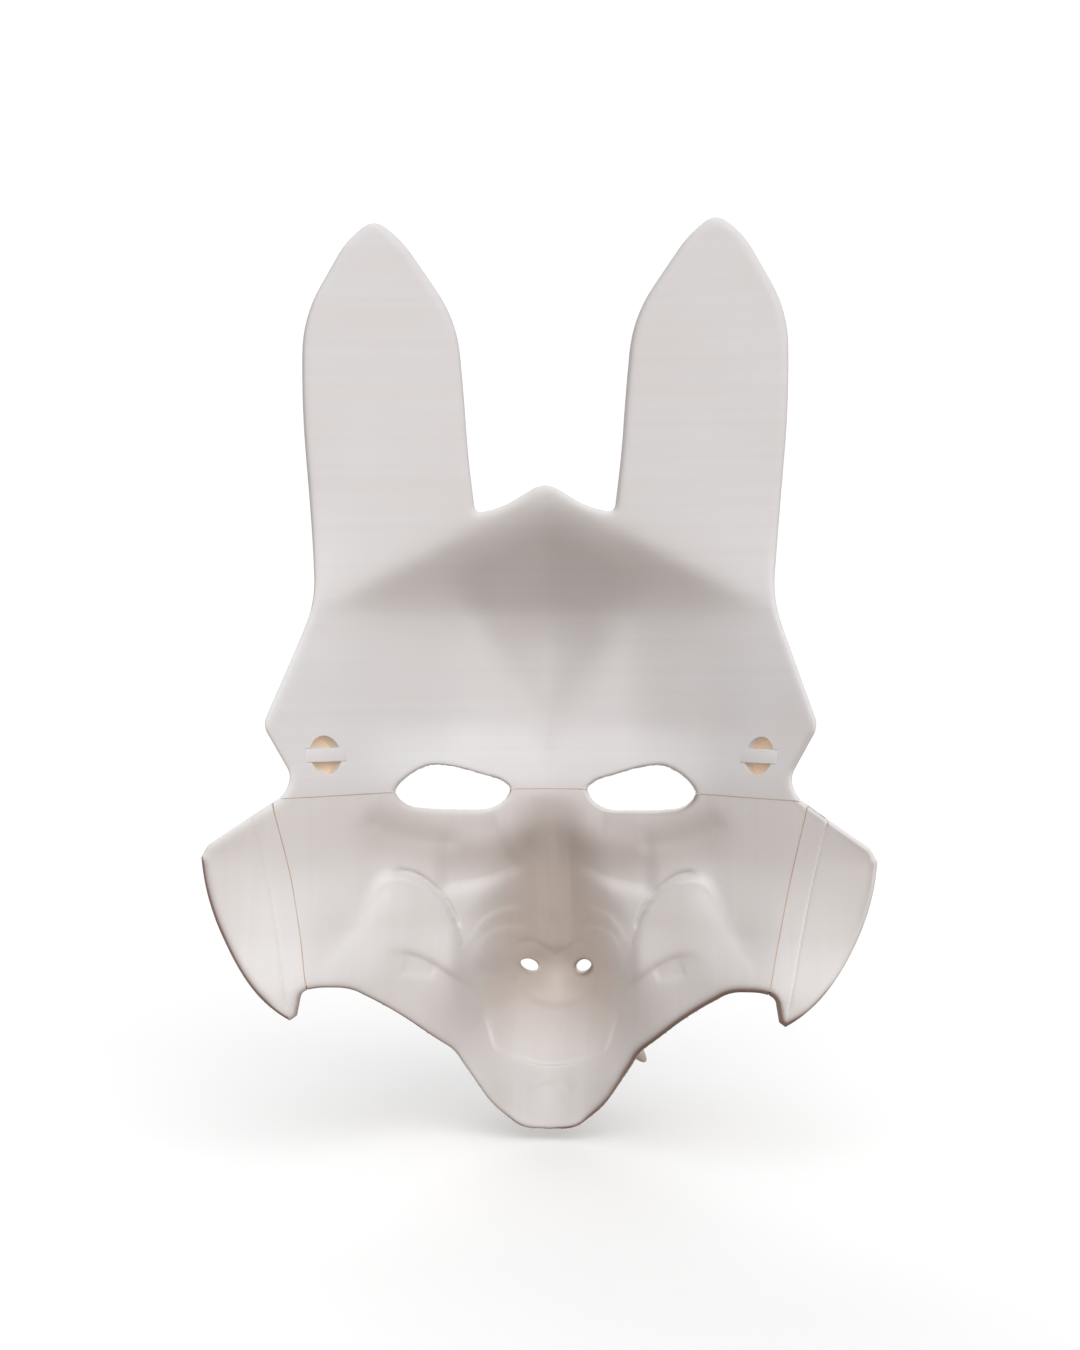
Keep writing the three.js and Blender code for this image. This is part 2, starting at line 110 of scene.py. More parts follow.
def bell(t: Array) -> Array:
    """Bell of height 1 and half width 1."""
    return np.exp(-t * t)


def soft_ramp(t: Array, soft: float) -> Array:
    """Zero below 0 and t above it, with a rounded corner."""
    return (t + np.hypot(t, soft)) / 2.0


def soft_min(a: Array, b: Array, soft: float) -> Array:
    """Lower of two values, with a rounded corner."""
    return (a + b - np.hypot(a - b, soft)) / 2.0


def curve_through(knots: Sequence[float], values: Array, t: Array) -> Array:
    """Shape-keeping cubic through knots that runs on straight past both ends.

    Args:
        knots: Rising knot places.
        values: Value at each knot, either one number or one per element of t.
        t: Places to read.

    Returns:
        The curve's value at each place.
    """
    places = np.asarray(knots, dtype=float)
    heights = np.asarray(values, dtype=float)
    if heights.ndim == 1:
        heights = np.repeat(heights[:, None], t.size, axis=1).reshape(len(places), *t.shape)
    gaps = np.diff(places).reshape(-1, *([1] * t.ndim))
    rise = np.diff(heights, axis=0) / gaps
    product = rise[:-1] * rise[1:]
    total = np.where(product > 0, rise[:-1] + rise[1:], 1.0)
    inner = np.where(product > 0, 2.0 * product / total, 0.0)
    first = np.zeros_like(rise[:1]) if places[0] == 0 else rise[:1]
    tangent = np.concatenate([first, inner, rise[-1:]])
    index = np.clip(np.searchsorted(places, t, side="right") - 1, 0, len(places) - 2)
    span = places[index + 1] - places[index]
    u = clamp01((t - places[index]) / span)

    def pick(rows: Array, at: Array) -> Array:
        """Row of each element."""
        return np.take_along_axis(rows, at[None], 0)[0]

    start, end = pick(heights, index), pick(heights, index + 1)
    leave, arrive = pick(tangent, index) * span, pick(tangent, index + 1) * span
    cubic = (2 * start - 2 * end + leave + arrive) * u ** 3
    square = (3 * end - 3 * start - 2 * leave - arrive) * u ** 2
    before = np.where(t < places[0], (t - places[0]) * tangent[0], 0.0)
    after = np.where(t > places[-1], (t - places[-1]) * tangent[-1], 0.0)
    return cubic + square + leave * u + start + before + after


def curve_down(heights: Sequence[float], columns: Array, z: Array) -> Array:
    """The same curve over rows listed from the top down, held level past both ends."""
    knots = [-height for height in heights]
    return curve_through(knots, columns, np.clip(-z, knots[0], knots[-1]))


def catmull_rom(points: Array, count: int, closed: bool) -> Array:
    """Centripetal Catmull-Rom curve.

    Args:
        points: Knots, one per row.
        count: Number of steps along the whole curve.
        closed: Whether the curve returns to its first knot.

    Returns:
        Points along the curve, without a repeated last one when it is closed.
    """
    total = len(points)
    spans = total if closed else total - 1
    result = []
    for step in range(count if closed else count + 1):
        place = step * spans / count
        at = min(int(place), spans - 1)
        u = place - at
        if closed:
            p0, p1, p2, p3 = (points[(at + k) % total] for k in (-1, 0, 1, 2))
        else:
            p1, p2 = points[at], points[at + 1]
            p0 = points[at - 1] if at > 0 else 2 * p1 - p2
            p3 = points[at + 2] if at + 2 < total else 2 * p2 - p1
        d0, d1, d2 = (math.sqrt(float(np.linalg.norm(b - a))) for a, b in ((p0, p1), (p1, p2), (p2, p3)))
        leave = ((p1 - p0) / d0 - (p2 - p0) / (d0 + d1) + (p2 - p1) / d1) * d1
        arrive = ((p2 - p1) / d1 - (p3 - p1) / (d1 + d2) + (p3 - p2) / d2) * d1
        cubic = (2 * p1 - 2 * p2 + leave + arrive) * u ** 3
        square = (3 * p2 - 3 * p1 - 2 * leave - arrive) * u ** 2
        result.append(cubic + square + leave * u + p1)
    return np.array(result)


def refine(loop: Array, step: float, closed: bool = True) -> Array:
    """Polyline with points added so that no stretch is longer than a step.

    Args:
        loop: Points of the line.
        step: Longest stretch allowed.
        closed: Whether the line returns to its first point.

    Returns:
        The longer list of points.
    """
    ends = np.roll(loop, -1, axis=0) if closed else loop[1:]
    starts = loop if closed else loop[:-1]
    points: list[Array] = []
    for start, end in zip(starts, ends):
        pieces = max(1, math.ceil(float(np.linalg.norm(end - start)) / step))
        points.extend(start + (end - start) * k / pieces for k in range(pieces))
    if not closed:
        points.append(loop[-1])
    return np.array(points)


def distance_to(path: Array, x: Array, z: Array) -> tuple[Array, Array]:
    """Signed distance to an open path and how far along it the nearest place is.

    Args:
        path: Points of the path in x and z.
        x: Places across.
        z: Places up.

    Returns:
        Distance, positive on the left of the path's direction, and the share of its length.
    """
    best = np.full(x.shape, np.inf)
    signed = np.zeros(x.shape)
    along = np.zeros(x.shape)
    lengths = np.linalg.norm(np.diff(path, axis=0), axis=1)
    total = float(lengths.sum())
    passed = 0.0
    for (ax, az), (bx, bz), length in zip(path[:-1], path[1:], lengths):
        ux, uz = (bx - ax) / length, (bz - az) / length
        reach = np.clip((x - ax) * ux + (z - az) * uz, 0.0, length)
        off = np.hypot(x - ax - ux * reach, z - az - uz * reach)
        nearer = off < best
        turn = ux * (z - az) - uz * (x - ax)
        best = np.where(nearer, off, best)
        signed = np.where(nearer, np.where(turn < 0, -off, off), signed)
        along = np.where(nearer, (passed + reach) / total, along)
        passed += float(length)
    return signed, along


def away_from(loop: Array, x: Array, z: Array) -> Array:
    """Distance to a closed loop."""
    return np.abs(distance_to(np.concatenate([loop, loop[:1]]), x, z)[0])


def inside(loop: Array, x: Array, z: Array) -> Array:
    """Whether each place lies inside a closed loop.

    Args:
        loop: Points of the loop.
        x: Places across.
        z: Places up.

    Returns:
        True for each place inside.
    """
    result = np.zeros(x.shape, dtype=bool)
    for (ax, az), (bx, bz) in zip(loop, np.roll(loop, -1, axis=0)):
        if az == bz:
            continue
        crosses = (az > z) != (bz > z)
        result ^= crosses & (x < ax + (z - az) * (bx - ax) / (bz - az))
    return result


# ---------------------------------------------------------------------------------- the face form
@dataclass(frozen=True)
class Fold:
    """A fold that runs along a path on one or both halves of the face."""

    path: tuple[Point, ...]
    height: float
    steep: float
    gentle: float
    relief: Relief = Relief.GROOVE
    paired: bool = True
    taper: float = 0.18

    @cache
    def paths(self) -> list[Array]:
        """The fold's smooth path on each half that it runs over.

        Returns:
            One path, or one for each half.
        """
        knots = np.array(self.path, dtype=float)
        length = float(np.linalg.norm(np.diff(knots, axis=0), axis=1).sum())
        curve = catmull_rom(knots, max(6, round(length / 1.6)), closed=False)
        if not self.paired:
            return [curve]
        return [curve, curve * np.array([-1.0, 1.0])]

    def depth(self, x: Array, z: Array) -> Array:
        """Depth that the fold adds, positive away from the wearer.

        Args:
            x: Places across.
            z: Places up.

        Returns:
            Added depth at each place.
        """
        half = np.abs(x) if self.paired else x
        signed, along = distance_to(self.paths()[0], half, z)
        ends = smooth(along / self.taper) * smooth((1.0 - along) / self.taper)
        if self.relief is Relief.TERRACE:
            across = smooth(0.5 + signed / (2 * self.steep)) * (1.0 - smooth(signed / self.gentle))
        else:
            across = bell(signed / np.where(signed > 0, self.gentle, self.steep))
        sign = -1.0 if self.relief is Relief.RIDGE else 1.0
        return sign * self.height * ends * across


@dataclass(frozen=True)
class FaceForm:
    """Depth of the mask's two faces over x and z."""

    wall: float = 3.0
    section_heights: tuple[float, ...] = (100, 63, 24, 0, -20, -42, -60, -85, -117)
    sections: tuple[tuple[Point, ...], ...] = (
        ((0, 84), (25, 80), (50, 72), (75, 60), (104, 40)),
        ((0, 73), (25, 69), (50, 54), (75, 36.5), (104, 14)),
        ((0, 74), (25, 70), (50, 53), (70, 30.5), (86, 13), (104, -3)),
        ((0, 70), (13, 67.5), (30, 59.5), (50, 45.5), (69, 25), (80, 14.5), (104, -4)),
        ((0, 75), (14, 69.5), (30, 60), (50, 45.5), (66, 29), (80, 15.5), (104, 1)),
        ((0, 77), (16, 70), (30, 60), (46, 45), (62, 26.5), (76, 12), (104, 1)),
        ((0, 77), (14, 70), (26, 58.5), (42, 42), (56, 23), (66, 10.5), (74, 4), (104, -4)),
        ((0, 78), (12, 72), (24, 60), (36, 44), (50, 25), (74, 2), (104, -16)),
        ((0, 64), (10, 62), (22, 52), (40, 34), (74, 0), (104, -28)),
    )
    snout_rows: tuple[Triple, ...] = (
        (0, 0, 9), (-10, 2.5, 10), (-25, 13, 13), (-42, 24, 17), (-58, 36, 20.5), (-68, 43, 22.5),
        (-76, 42, 23.5), (-84, 33, 24), (-92, 20, 24), (-100, 10.5, 23), (-110, 5, 20), (-117, 3, 18),
    )
    snout_power: float = 2.9
    ear_depth: float = 47.5
    ear_sweep: float = 0.1
    vault_top: float = 95.5
    vault_fall: float = 0.54
    vault_ridge: float = 6.0
    vault_slope: float = 1.15
    vault_slope_middle: float = 0.9
    vault_slope_span: Point = (16, 32)
    brow_hollow_tip: float = 19.0
    brow_hollow_flare: float = 1.55
    brow_hollow_round: float = 5.0
    brow_hollow_slope: float = 0.25
    blend: float = 10.0
    crisp: float = 4.0
    lip_arch: tuple[Point, ...] = (
        (26, -62), (31, -44), (36, -35), (44, -28.6), (51, -27), (58, -33), (66, -56),
    )
    gum_step: float = 4.0
    gum_edge: float = 0.9
    gum_edge_outer: float = 4.5
    gum_fade_in: Point = (26, 32)
    gum_fade_out: Point = (45, 62)
    gum_fade_down: Point = (8, 42)
    nose_pad_rise: float = 3.0
    nose_pad_half: float = 15.0
    nose_pad_z: float = -71.0
    nose_pad_height: float = 22.0
    chin_bump_rise: float = 2.0
    chin_bump_z: float = -108.5
    chin_bump_radius: float = 6.0
    folds: tuple[Fold, ...] = (
        Fold(((60, -7), (52, -12), (46, -14.5), (38, -16.5), (28, -18)), 1.2, 5.5, 3.4),
        Fold(((31, -14.2), (24, -13.6), (16, -12.4)), 0.6, 4.5, 4.0),
        Fold(((9, -25), (18, -28.6), (27, -30.4), (38, -31)), 2.6, 3.4, 12.0),
        Fold(((50, -25.4), (44, -27), (38, -31.6), (32.6, -39), (29.6, -47.5)), 1.3, 0.8, 1.1,
             Relief.GROOVE, True, 0.1),
        Fold(((6.4, -14), (6.4, -30), (6.0, -44), (5.0, -54)), 0.9, 1.2, 2.4),
        Fold(((0, -16), (0, -34), (0, -52)), 0.7, 1.8, 1.8, Relief.RIDGE, False),
        Fold(((10, -42), (16, -41.4), (21, -42.6), (25.5, -46.5), (28, -52)), 0.8, 1.4, 3.6),
        Fold(((7, -52.8), (13, -49.2), (19, -48.4), (24, -51), (25.6, -57), (22.5, -64), (17, -68)),
             0.8, 1.4, 3.2),
        Fold(((-15, -58), (-9, -57.6), (-4, -61.4), (0, -63.6), (4, -61.4), (9, -57.6), (15, -58)),
             1.0, 2.2, 1.1, Relief.GROOVE, False, 0.1),
        Fold(((-15.6, -68), (-13, -75), (-7, -80), (0, -81.6), (7, -80), (13, -75), (15.6, -68)),
             1.6, 0.9, 2.2, Relief.GROOVE, False, 0.1),
        Fold(((-25, -76), (-22.6, -83), (-18.9, -92), (-7, -98), (0, -99), (7, -98), (18.9, -92),
              (22.6, -83), (25, -76)), 2.0, 3.0, 0.9, Relief.GROOVE, False, 0.1),
        Fold(((20, -88), (24, -75), (28, -67), (33.4, -60.6), (42, -54.4), (52, -51)), 1.6, 4.5, 1.6),
        Fold(((36, -60.4), (41, -58.8), (47, -57)), 0.8, 1.4, 3.0),
        Fold(((50, -27), (55, -33), (62, -44), (70, -54)), 0.7, 3.0, 5.0),
        Fold(((-7.4, -107), (-5, -103.6), (0, -102.2), (5, -103.6), (7.4, -107)),
             0.9, 0.8, 2.0, Relief.GROOVE, False),
        Fold(((89.5, -2), (82.9, -33), (76.4, -64)), 0.3, 0.3, 0.3, Relief.GROOVE, True, 0.02),
    )

    def head(self, x: Array, z: Array) -> Array:
        """Depth of the head form, lofted through its horizontal sections.

        Args:
            x: Places across.
            z: Places up.

        Returns:
            Depth at each place.
        """
        across = np.abs(x)
        rows = [
            curve_through([half for half, _ in row], np.array([depth for _, depth in row]), across)
            for row in self.sections
        ]
        rounded = np.hypot(x, self.brow_hollow_round) - self.brow_hollow_round
        above_tip = z - self.brow_hollow_tip - self.brow_hollow_flare * rounded
        hollow = self.brow_hollow_slope * soft_ramp(above_tip, 3.0)
        return curve_down(self.section_heights, np.stack(rows), z) + hollow

    def snout(self, x: Array, z: Array) -> Array:
        """How far the snout stands forward of the head form.

        Args:
            x: Places across.
            z: Places up.

        Returns:
            Added depth at each place.
        """
        heights, stands, halves = zip(*self.snout_rows)
        stand = curve_down(heights, np.array(stands, dtype=float), z)
        half = curve_down(heights, np.array(halves, dtype=float), z)
        return stand * np.exp(-((np.abs(x) / half) ** self.snout_power))

    def ear_plane(self, x: Array, z: Array) -> Array:
        """Depth of the ear plane and of the forehead hollow's ceiling below it.

        Args:
            x: Places across.
            z: Places up.

        Returns:
            Depth at each place.
        """
        steeper = smooth_between(self.vault_slope_span, np.abs(x))
        slope = self.vault_slope_middle + (self.vault_slope - self.vault_slope_middle) * steeper
        ceiling = slope * soft_ramp(self.vault_edge(x) - z, self.crisp)
        return self.ear_depth - self.ear_sweep * np.abs(x) + ceiling

    def vault_edge(self, x: Array) -> Array:
        """Height at which the forehead hollow starts."""
        across = np.hypot(x, self.vault_ridge) - self.vault_ridge
        return self.vault_top - self.vault_fall * across

    def vault_shade(self, x: Array, z: Array) -> Array:
        """Share of painted shade at each place: the forehead hollow's deepest, middle part, the trough
        above the brow and the hollow under each eye.

        Args:
            x: Places across.
            z: Places up.

        Returns:
            Share from 0 to 1 at each place.
        """
        under = smooth_between((1, 13), self.vault_edge(x) - z) * smooth_between((48, 66), z)
        middle = 0.8 * under * (1.0 - smooth_between((18, 40), np.abs(x)))
        climb = z - self.brow_hollow_tip - self.brow_hollow_flare * np.abs(x)
        trough = 0.78 * smooth_between((-16, 12), climb) * (1.0 - smooth_between((50, 70), z))
        return np.maximum.reduce([middle, trough, 0.9 * self.socket_shade(x, z)])

    def socket_shade(self, x: Array, z: Array) -> Array:
        """Share of the shallow hollow under each eye at each place, used for painted shade."""
        middle = np.array([(10.0, -20.0), (24.0, -21.5), (36.0, -19.0), (52.0, -12.0)])
        return bell(distance_to(middle, np.abs(x), z)[0] / 8.0)

    def base(self, x: Array, z: Array) -> Array:
        """Head, ears and snout together."""
        return soft_min(self.head(x, z), self.ear_plane(x, z), self.blend) + self.snout(x, z)

    def gum_panel(self, x: Array, z: Array) -> Array:
        """Step of the gum panel inside each lifted lip.

        Args:
            x: Places across.
            z: Places up.

        Returns:
            Added depth at each place, which is negative.
        """
        out = np.abs(x)
        knots, heights = zip(*self.lip_arch)
        drop = curve_through(knots, np.array(heights, dtype=float), out) - z
        soft = self.gum_edge + self.gum_edge_outer * smooth_between((46, 60), out)
        across = smooth_between(self.gum_fade_in, out) * (1.0 - smooth_between(self.gum_fade_out, out))
        down = smooth(0.5 + drop / (2 * soft)) * (1.0 - smooth_between(self.gum_fade_down, drop))
        return -self.gum_step * across * down

    def nose_pad(self, x: Array, z: Array) -> Array:
        """Rise of the nose pad."""
        off = np.abs(z - self.nose_pad_z) / (self.nose_pad_height / 2)
        return self.nose_pad_rise * bell(x / self.nose_pad_half) * (1.0 - smooth(off))

    def chin_bump(self, x: Array, z: Array) -> Array:
        """Rise of the round bump on the chin."""
        away = np.hypot(x, z - self.chin_bump_z) / self.chin_bump_radius
        return self.chin_bump_rise * bell(away)

    def inner(self, x: Array, z: Array) -> Array:
        """Depth of the wearer's side of the wall.

        Args:
            x: Places across.
            z: Places up.

        Returns:
            Depth at each place.
        """
        depth = self.base(x, z) + self.gum_panel(x, z) + self.nose_pad(x, z) + self.chin_bump(x, z)
        for fold in self.folds:
            depth = depth + fold.depth(x, z)
        return depth

    def slopes(self, x: Array, z: Array) -> tuple[Array, Array]:
        """Slopes of the smooth form across and up.

        Args:
            x: Places across.
            z: Places up.

        Returns:
            Slope across and slope up at each place.
        """
        probe = 0.5
        across = self.base(x + probe, z) - self.base(x - probe, z)
        up = self.base(x, z + probe) - self.base(x, z - probe)
        return across, up

    def stretch(self, x: Array, z: Array) -> Array:
        """Depth through the wall for each unit of its thickness."""
        across, up = self.slopes(x, z)
        return np.sqrt(1.0 + across ** 2 + up ** 2)

    def outer(self, x: Array, z: Array) -> Array:
        """Depth of the outside of the wall."""
        return self.inner(x, z) + self.wall * self.stretch(x, z)


# ---------------------------------------------------------------------------------- outlines
@dataclass(frozen=True)
class Outlines:
    """The mask's edge, its openings and its glued seams, in x and z."""

    glue_gap: float = 0.3
    ear_top: float = 188.0
    ear_tip_x: float = 56.0
    ear_point: float = 30.0
    ear_inner_x: float = 26.0
    ear_outer_x: float = 79.8
    ear_notch: Point = (23, 92)
    ear_base: Point = (74, 63)
    crest_top: float = 101.5
    temple: Point = (86.5, 23)
    ear_hollow: Point = (78.2, 7)
    wing_reach: float = 103.2
    wing_corner_z: float = -17.5
    wing_tip: Point = (74, -67.6)
    wing_notch: Point = (68, -58.5)
    chin_drop: float = 116.2
    chin_half: float = 9.0
    jaw_bend: Point = (31, -87)
    lap: float = 6.5
    seam_x: float = 83.4
    seam_lean: float = 0.211
    eye_x: float = 31.4
    eye_z: float = 0.8
    eye_length: float = 36.6
    eye_height: float = 15.6
    eye_knots: tuple[Point, ...] = (
        (-1, -0.08), (-0.86, 0.26), (-0.5, 0.56), (0.05, 0.94), (0.45, 1), (0.82, 0.52),
        (1, -0.08), (0.8, -0.68), (0.4, -0.9), (-0.1, -0.98), (-0.62, -0.97), (-0.9, -0.6),
    )
    nostril: tuple[float, float, float, float, float] = (10, -67.6, 7.2, 4.2, 0.75)

    @staticmethod
    def rounded(corners: Iterable[tuple[float, ...]], per_arc: int = 8) -> list[Array]:
        """Polyline with rounded corners.

        Args:
            corners: Place of each corner, then its radius where it is rounded.
            per_arc: Steps round each corner.

        Returns:
            Points of the path.
        """
        rows = [np.array(corner[:2], dtype=float) for corner in corners]
        radii = [corner[2] if len(corner) > 2 else 0.0 for corner in corners]
        points: list[Array] = []
        for i, (here, radius) in enumerate(zip(rows, radii)):
            if not radius or i in (0, len(rows) - 1):
                points.append(here)
                continue
            back, ahead = rows[i - 1] - here, rows[i + 1] - here
            back_length, ahead_length = np.linalg.norm(back), np.linalg.norm(ahead)
            reach = min(radius, back_length * 0.48, ahead_length * 0.48)
            start = here + back * reach / back_length
            end = here + ahead * reach / ahead_length
            for k in range(per_arc + 1):
                t = k / per_arc
                points.append((1 - t) ** 2 * start + 2 * t * (1 - t) * here + t ** 2 * end)
        return points

    @cache
    def edge(self) -> Array:
        """Closed outline of the whole mask.

        Returns:
            Points round the mask, right half first.
        """
        shoulder = self.ear_top - self.ear_point
        notch_x, notch_z = self.ear_notch
        above = self.rounded((
            (0, self.crest_top),
            (3, self.crest_top - 0.6, 4),
            (notch_x - 9, notch_z + 2.2, 5),
            (notch_x, notch_z, 3),
            (self.ear_inner_x - 0.6, notch_z + 20, 12),
            (self.ear_inner_x + 0.6, notch_z + 38, 12),
            (self.ear_inner_x + 3, shoulder - 2, 12),
            (self.ear_tip_x - 9, self.ear_top - 6, 8),
            (self.ear_tip_x, self.ear_top + 1, 5),
            (self.ear_tip_x + 9, self.ear_top - 6.5, 8),
            (self.ear_outer_x - 0.6, shoulder - 2, 12),
            (self.ear_outer_x - 0.6, self.ear_base[1] + 62, 30),
            (*self.ear_base, 8),
            (*self.temple, 3),
            (*self.ear_hollow, 5),
            (self.ear_hollow[0] + 1.8, self.ear_hollow[1] - 6, 5),
            (self.wing_reach - 2.2, self.wing_corner_z + 4),
        ))
        tip_x, tip_z = self.wing_tip
        bezier = [np.array(p, dtype=float) for p in (
            (self.wing_reach, self.wing_corner_z),
            (self.wing_reach - 1.4, self.wing_corner_z - 22),
            (tip_x + 16.5, tip_z + 9.5),
            (tip_x + 1.8, tip_z),
        )]
        steps = 28
        outer = []
        for k in range(steps + 1):
            t = k / steps
            weights = ((1 - t) ** 3, 3 * t * (1 - t) ** 2, 3 * t * t * (1 - t), t ** 3)
            outer.append(sum(weight * knot for weight, knot in zip(weights, bezier)))
        nick_x, nick_z = self.wing_notch
        jaw_x, jaw_z = self.jaw_bend
        below = self.rounded((
            (tip_x, tip_z + 1.2),
            (tip_x - 1.2, nick_z - 0.4, 3),
            (nick_x, nick_z, 3),
            (nick_x - 8, nick_z - 1.5, 6),
            (nick_x - 22, nick_z - 12.5, 10),
            (jaw_x, jaw_z, 6),
            (jaw_x - 3, jaw_z - 6, 5),
            (self.chin_half + 10, -self.chin_drop + 9, 6),
            (self.chin_half, -self.chin_drop + 0.5, 6),
            (0, -self.chin_drop),
        ))
        right = np.array([*above, *outer, *below])
        left = (right * np.array([-1.0, 1.0]))[::-1][1:-1]
        return np.concatenate([right, left])

    @cache
    def eye(self, side: Side) -> Array:
        """Eye opening of one side, higher and rounder towards the temple.

        Args:
            side: Half of the mask.

        Returns:
            Points round the opening.
        """
        reach, rise = side.value * self.eye_length / 2, self.eye_height / 2
        middle_x = side.value * self.eye_x
        knots = [(middle_x + u * reach, self.eye_z + w * rise) for u, w in self.eye_knots]
        return catmull_rom(np.array(knots), 56, closed=True)

    @cache
    def nostril_loop(self, side: Side) -> Array:
        """Nostril of one side, its inner end lower.

        Args:
            side: Half of the mask.

        Returns:
            Points round the nostril.
        """
        middle_x, middle_z, length, height, tilt = self.nostril
        turn = np.linspace(0, 2 * np.pi, 28, endpoint=False)
        u, w = np.cos(turn) * length / 2, np.sin(turn) * height / 2
        lean = side.value * tilt
        x = side.value * middle_x + u * math.cos(lean) - w * math.sin(lean)
        return np.stack([x, middle_z + u * math.sin(lean) + w * math.cos(lean)], axis=1)

    def seam(self, z: Array) -> Array:
        """Half width of the wing seam at each height."""
        return self.seam_x + self.seam_lean * z

    def seam_line(self, side: Side, shift: float) -> Array:
        """Straight line along a wing seam, shifted outwards."""
        ends = np.array([20.0, -self.chin_drop - 10])
        return np.stack([side.value * (self.seam(ends) + shift), ends], axis=1)

    def glue_line(self, shift: float) -> Array:
        """Level line across the mask beside the seam through the eyes."""
        far = self.wing_reach + 10
        return np.array([[-far, shift], [far, shift]])


# ---------------------------------------------------------------------------------- mesh helpers
def linked(name: str, data: Any) -> bpy.types.Object:
    """New object at the origin, linked to the scene.

    Args:
        name: Name of the object.
        data: Its mesh, light or camera data.

    Returns:
        The new object.
    """
    obj = bpy.data.objects.new(name, data)
    bpy.context.scene.collection.objects.link(obj)
    return obj


def mesh_object(name: str, vertices: Array, faces: Sequence[Sequence[int]]) -> bpy.types.Object:
    """Linked mesh object from places in millimetres.

    Args:
        name: Name of the piece.
        vertices: Places in the mask's frame.
        faces: Corner numbers of each face.

    Returns:
        The new object, at the origin.
    """
    mesh = bpy.data.meshes.new(name)
    mesh.from_pydata((np.asarray(vertices) * MM).tolist(), [], [list(map(int, face)) for face in faces])
    mesh.validate()
    mesh.update()
    return linked(name, mesh)


def shade(obj: bpy.types.Object, angle: float) -> None:
    """Shades an object smooth with hard edges above an angle in degrees."""
    obj.data.shade_smooth()
    obj.data.set_sharp_from_angle(angle=math.radians(angle))


def settle(obj: bpy.types.Object) -> bpy.types.Object:
    """Turns an object's modifiers into a plain mesh and clears them.

    Args:
        obj: The piece.

    Returns:
        The same piece.
    """
    graph = bpy.context.evaluated_depsgraph_get()
    mesh = bpy.data.meshes.new_from_object(obj.evaluated_get(graph))
    obj.modifiers.clear()
    old = obj.data
    obj.data = mesh
    mesh.name = obj.name
    bpy.data.meshes.remove(old)
    return obj


def combine(obj: bpy.types.Object, tool: bpy.types.Object, operation: str) -> None:
    """Adds or cuts a tool body and throws the tool away.

    Args:
        obj: The piece.
        tool: The body to add or cut, which is removed.
        operation: Name of the boolean.
    """
    modifier = obj.modifiers.new("shape", "BOOLEAN")
    modifier.operation = operation
    modifier.solver = "MANIFOLD"
    modifier.object = tool
    settle(obj)
    bpy.data.objects.remove(tool)


def set_attribute(obj: bpy.types.Object, name: str, values: Array) -> None:
    """Stores one number per vertex under a name."""
    layer = obj.data.attributes.new(name, "FLOAT", "POINT")
    layer.data.foreach_set("value", np.asarray(values, dtype=np.float32))


def vertex_places(obj: bpy.types.Object) -> Array:
    """Places of a mesh's vertices in millimetres, one row each.

    Args:
        obj: The piece.

    Returns:
        Places across, forward and up.
    """
    flat = np.empty(len(obj.data.vertices) * 3, dtype=np.float32)
    obj.data.vertices.foreach_get("co", flat)
    return flat.reshape(-1, 3).astype(float) / MM


def register(obj: bpy.types.Object, slot: Slot, *nodes: str) -> None:
    """Tells the frame which body a piece rides on and hides the CAD nodes it stands for.

    Args:
        obj: The piece.
        slot: Slot of the record; not used.
        *nodes: CAD nodes that the piece stands for.
    """
    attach(obj, BODY)
    if nodes:
        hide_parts(*nodes)
    LOG.info("%s: %d faces", obj.name, len(obj.data.polygons))


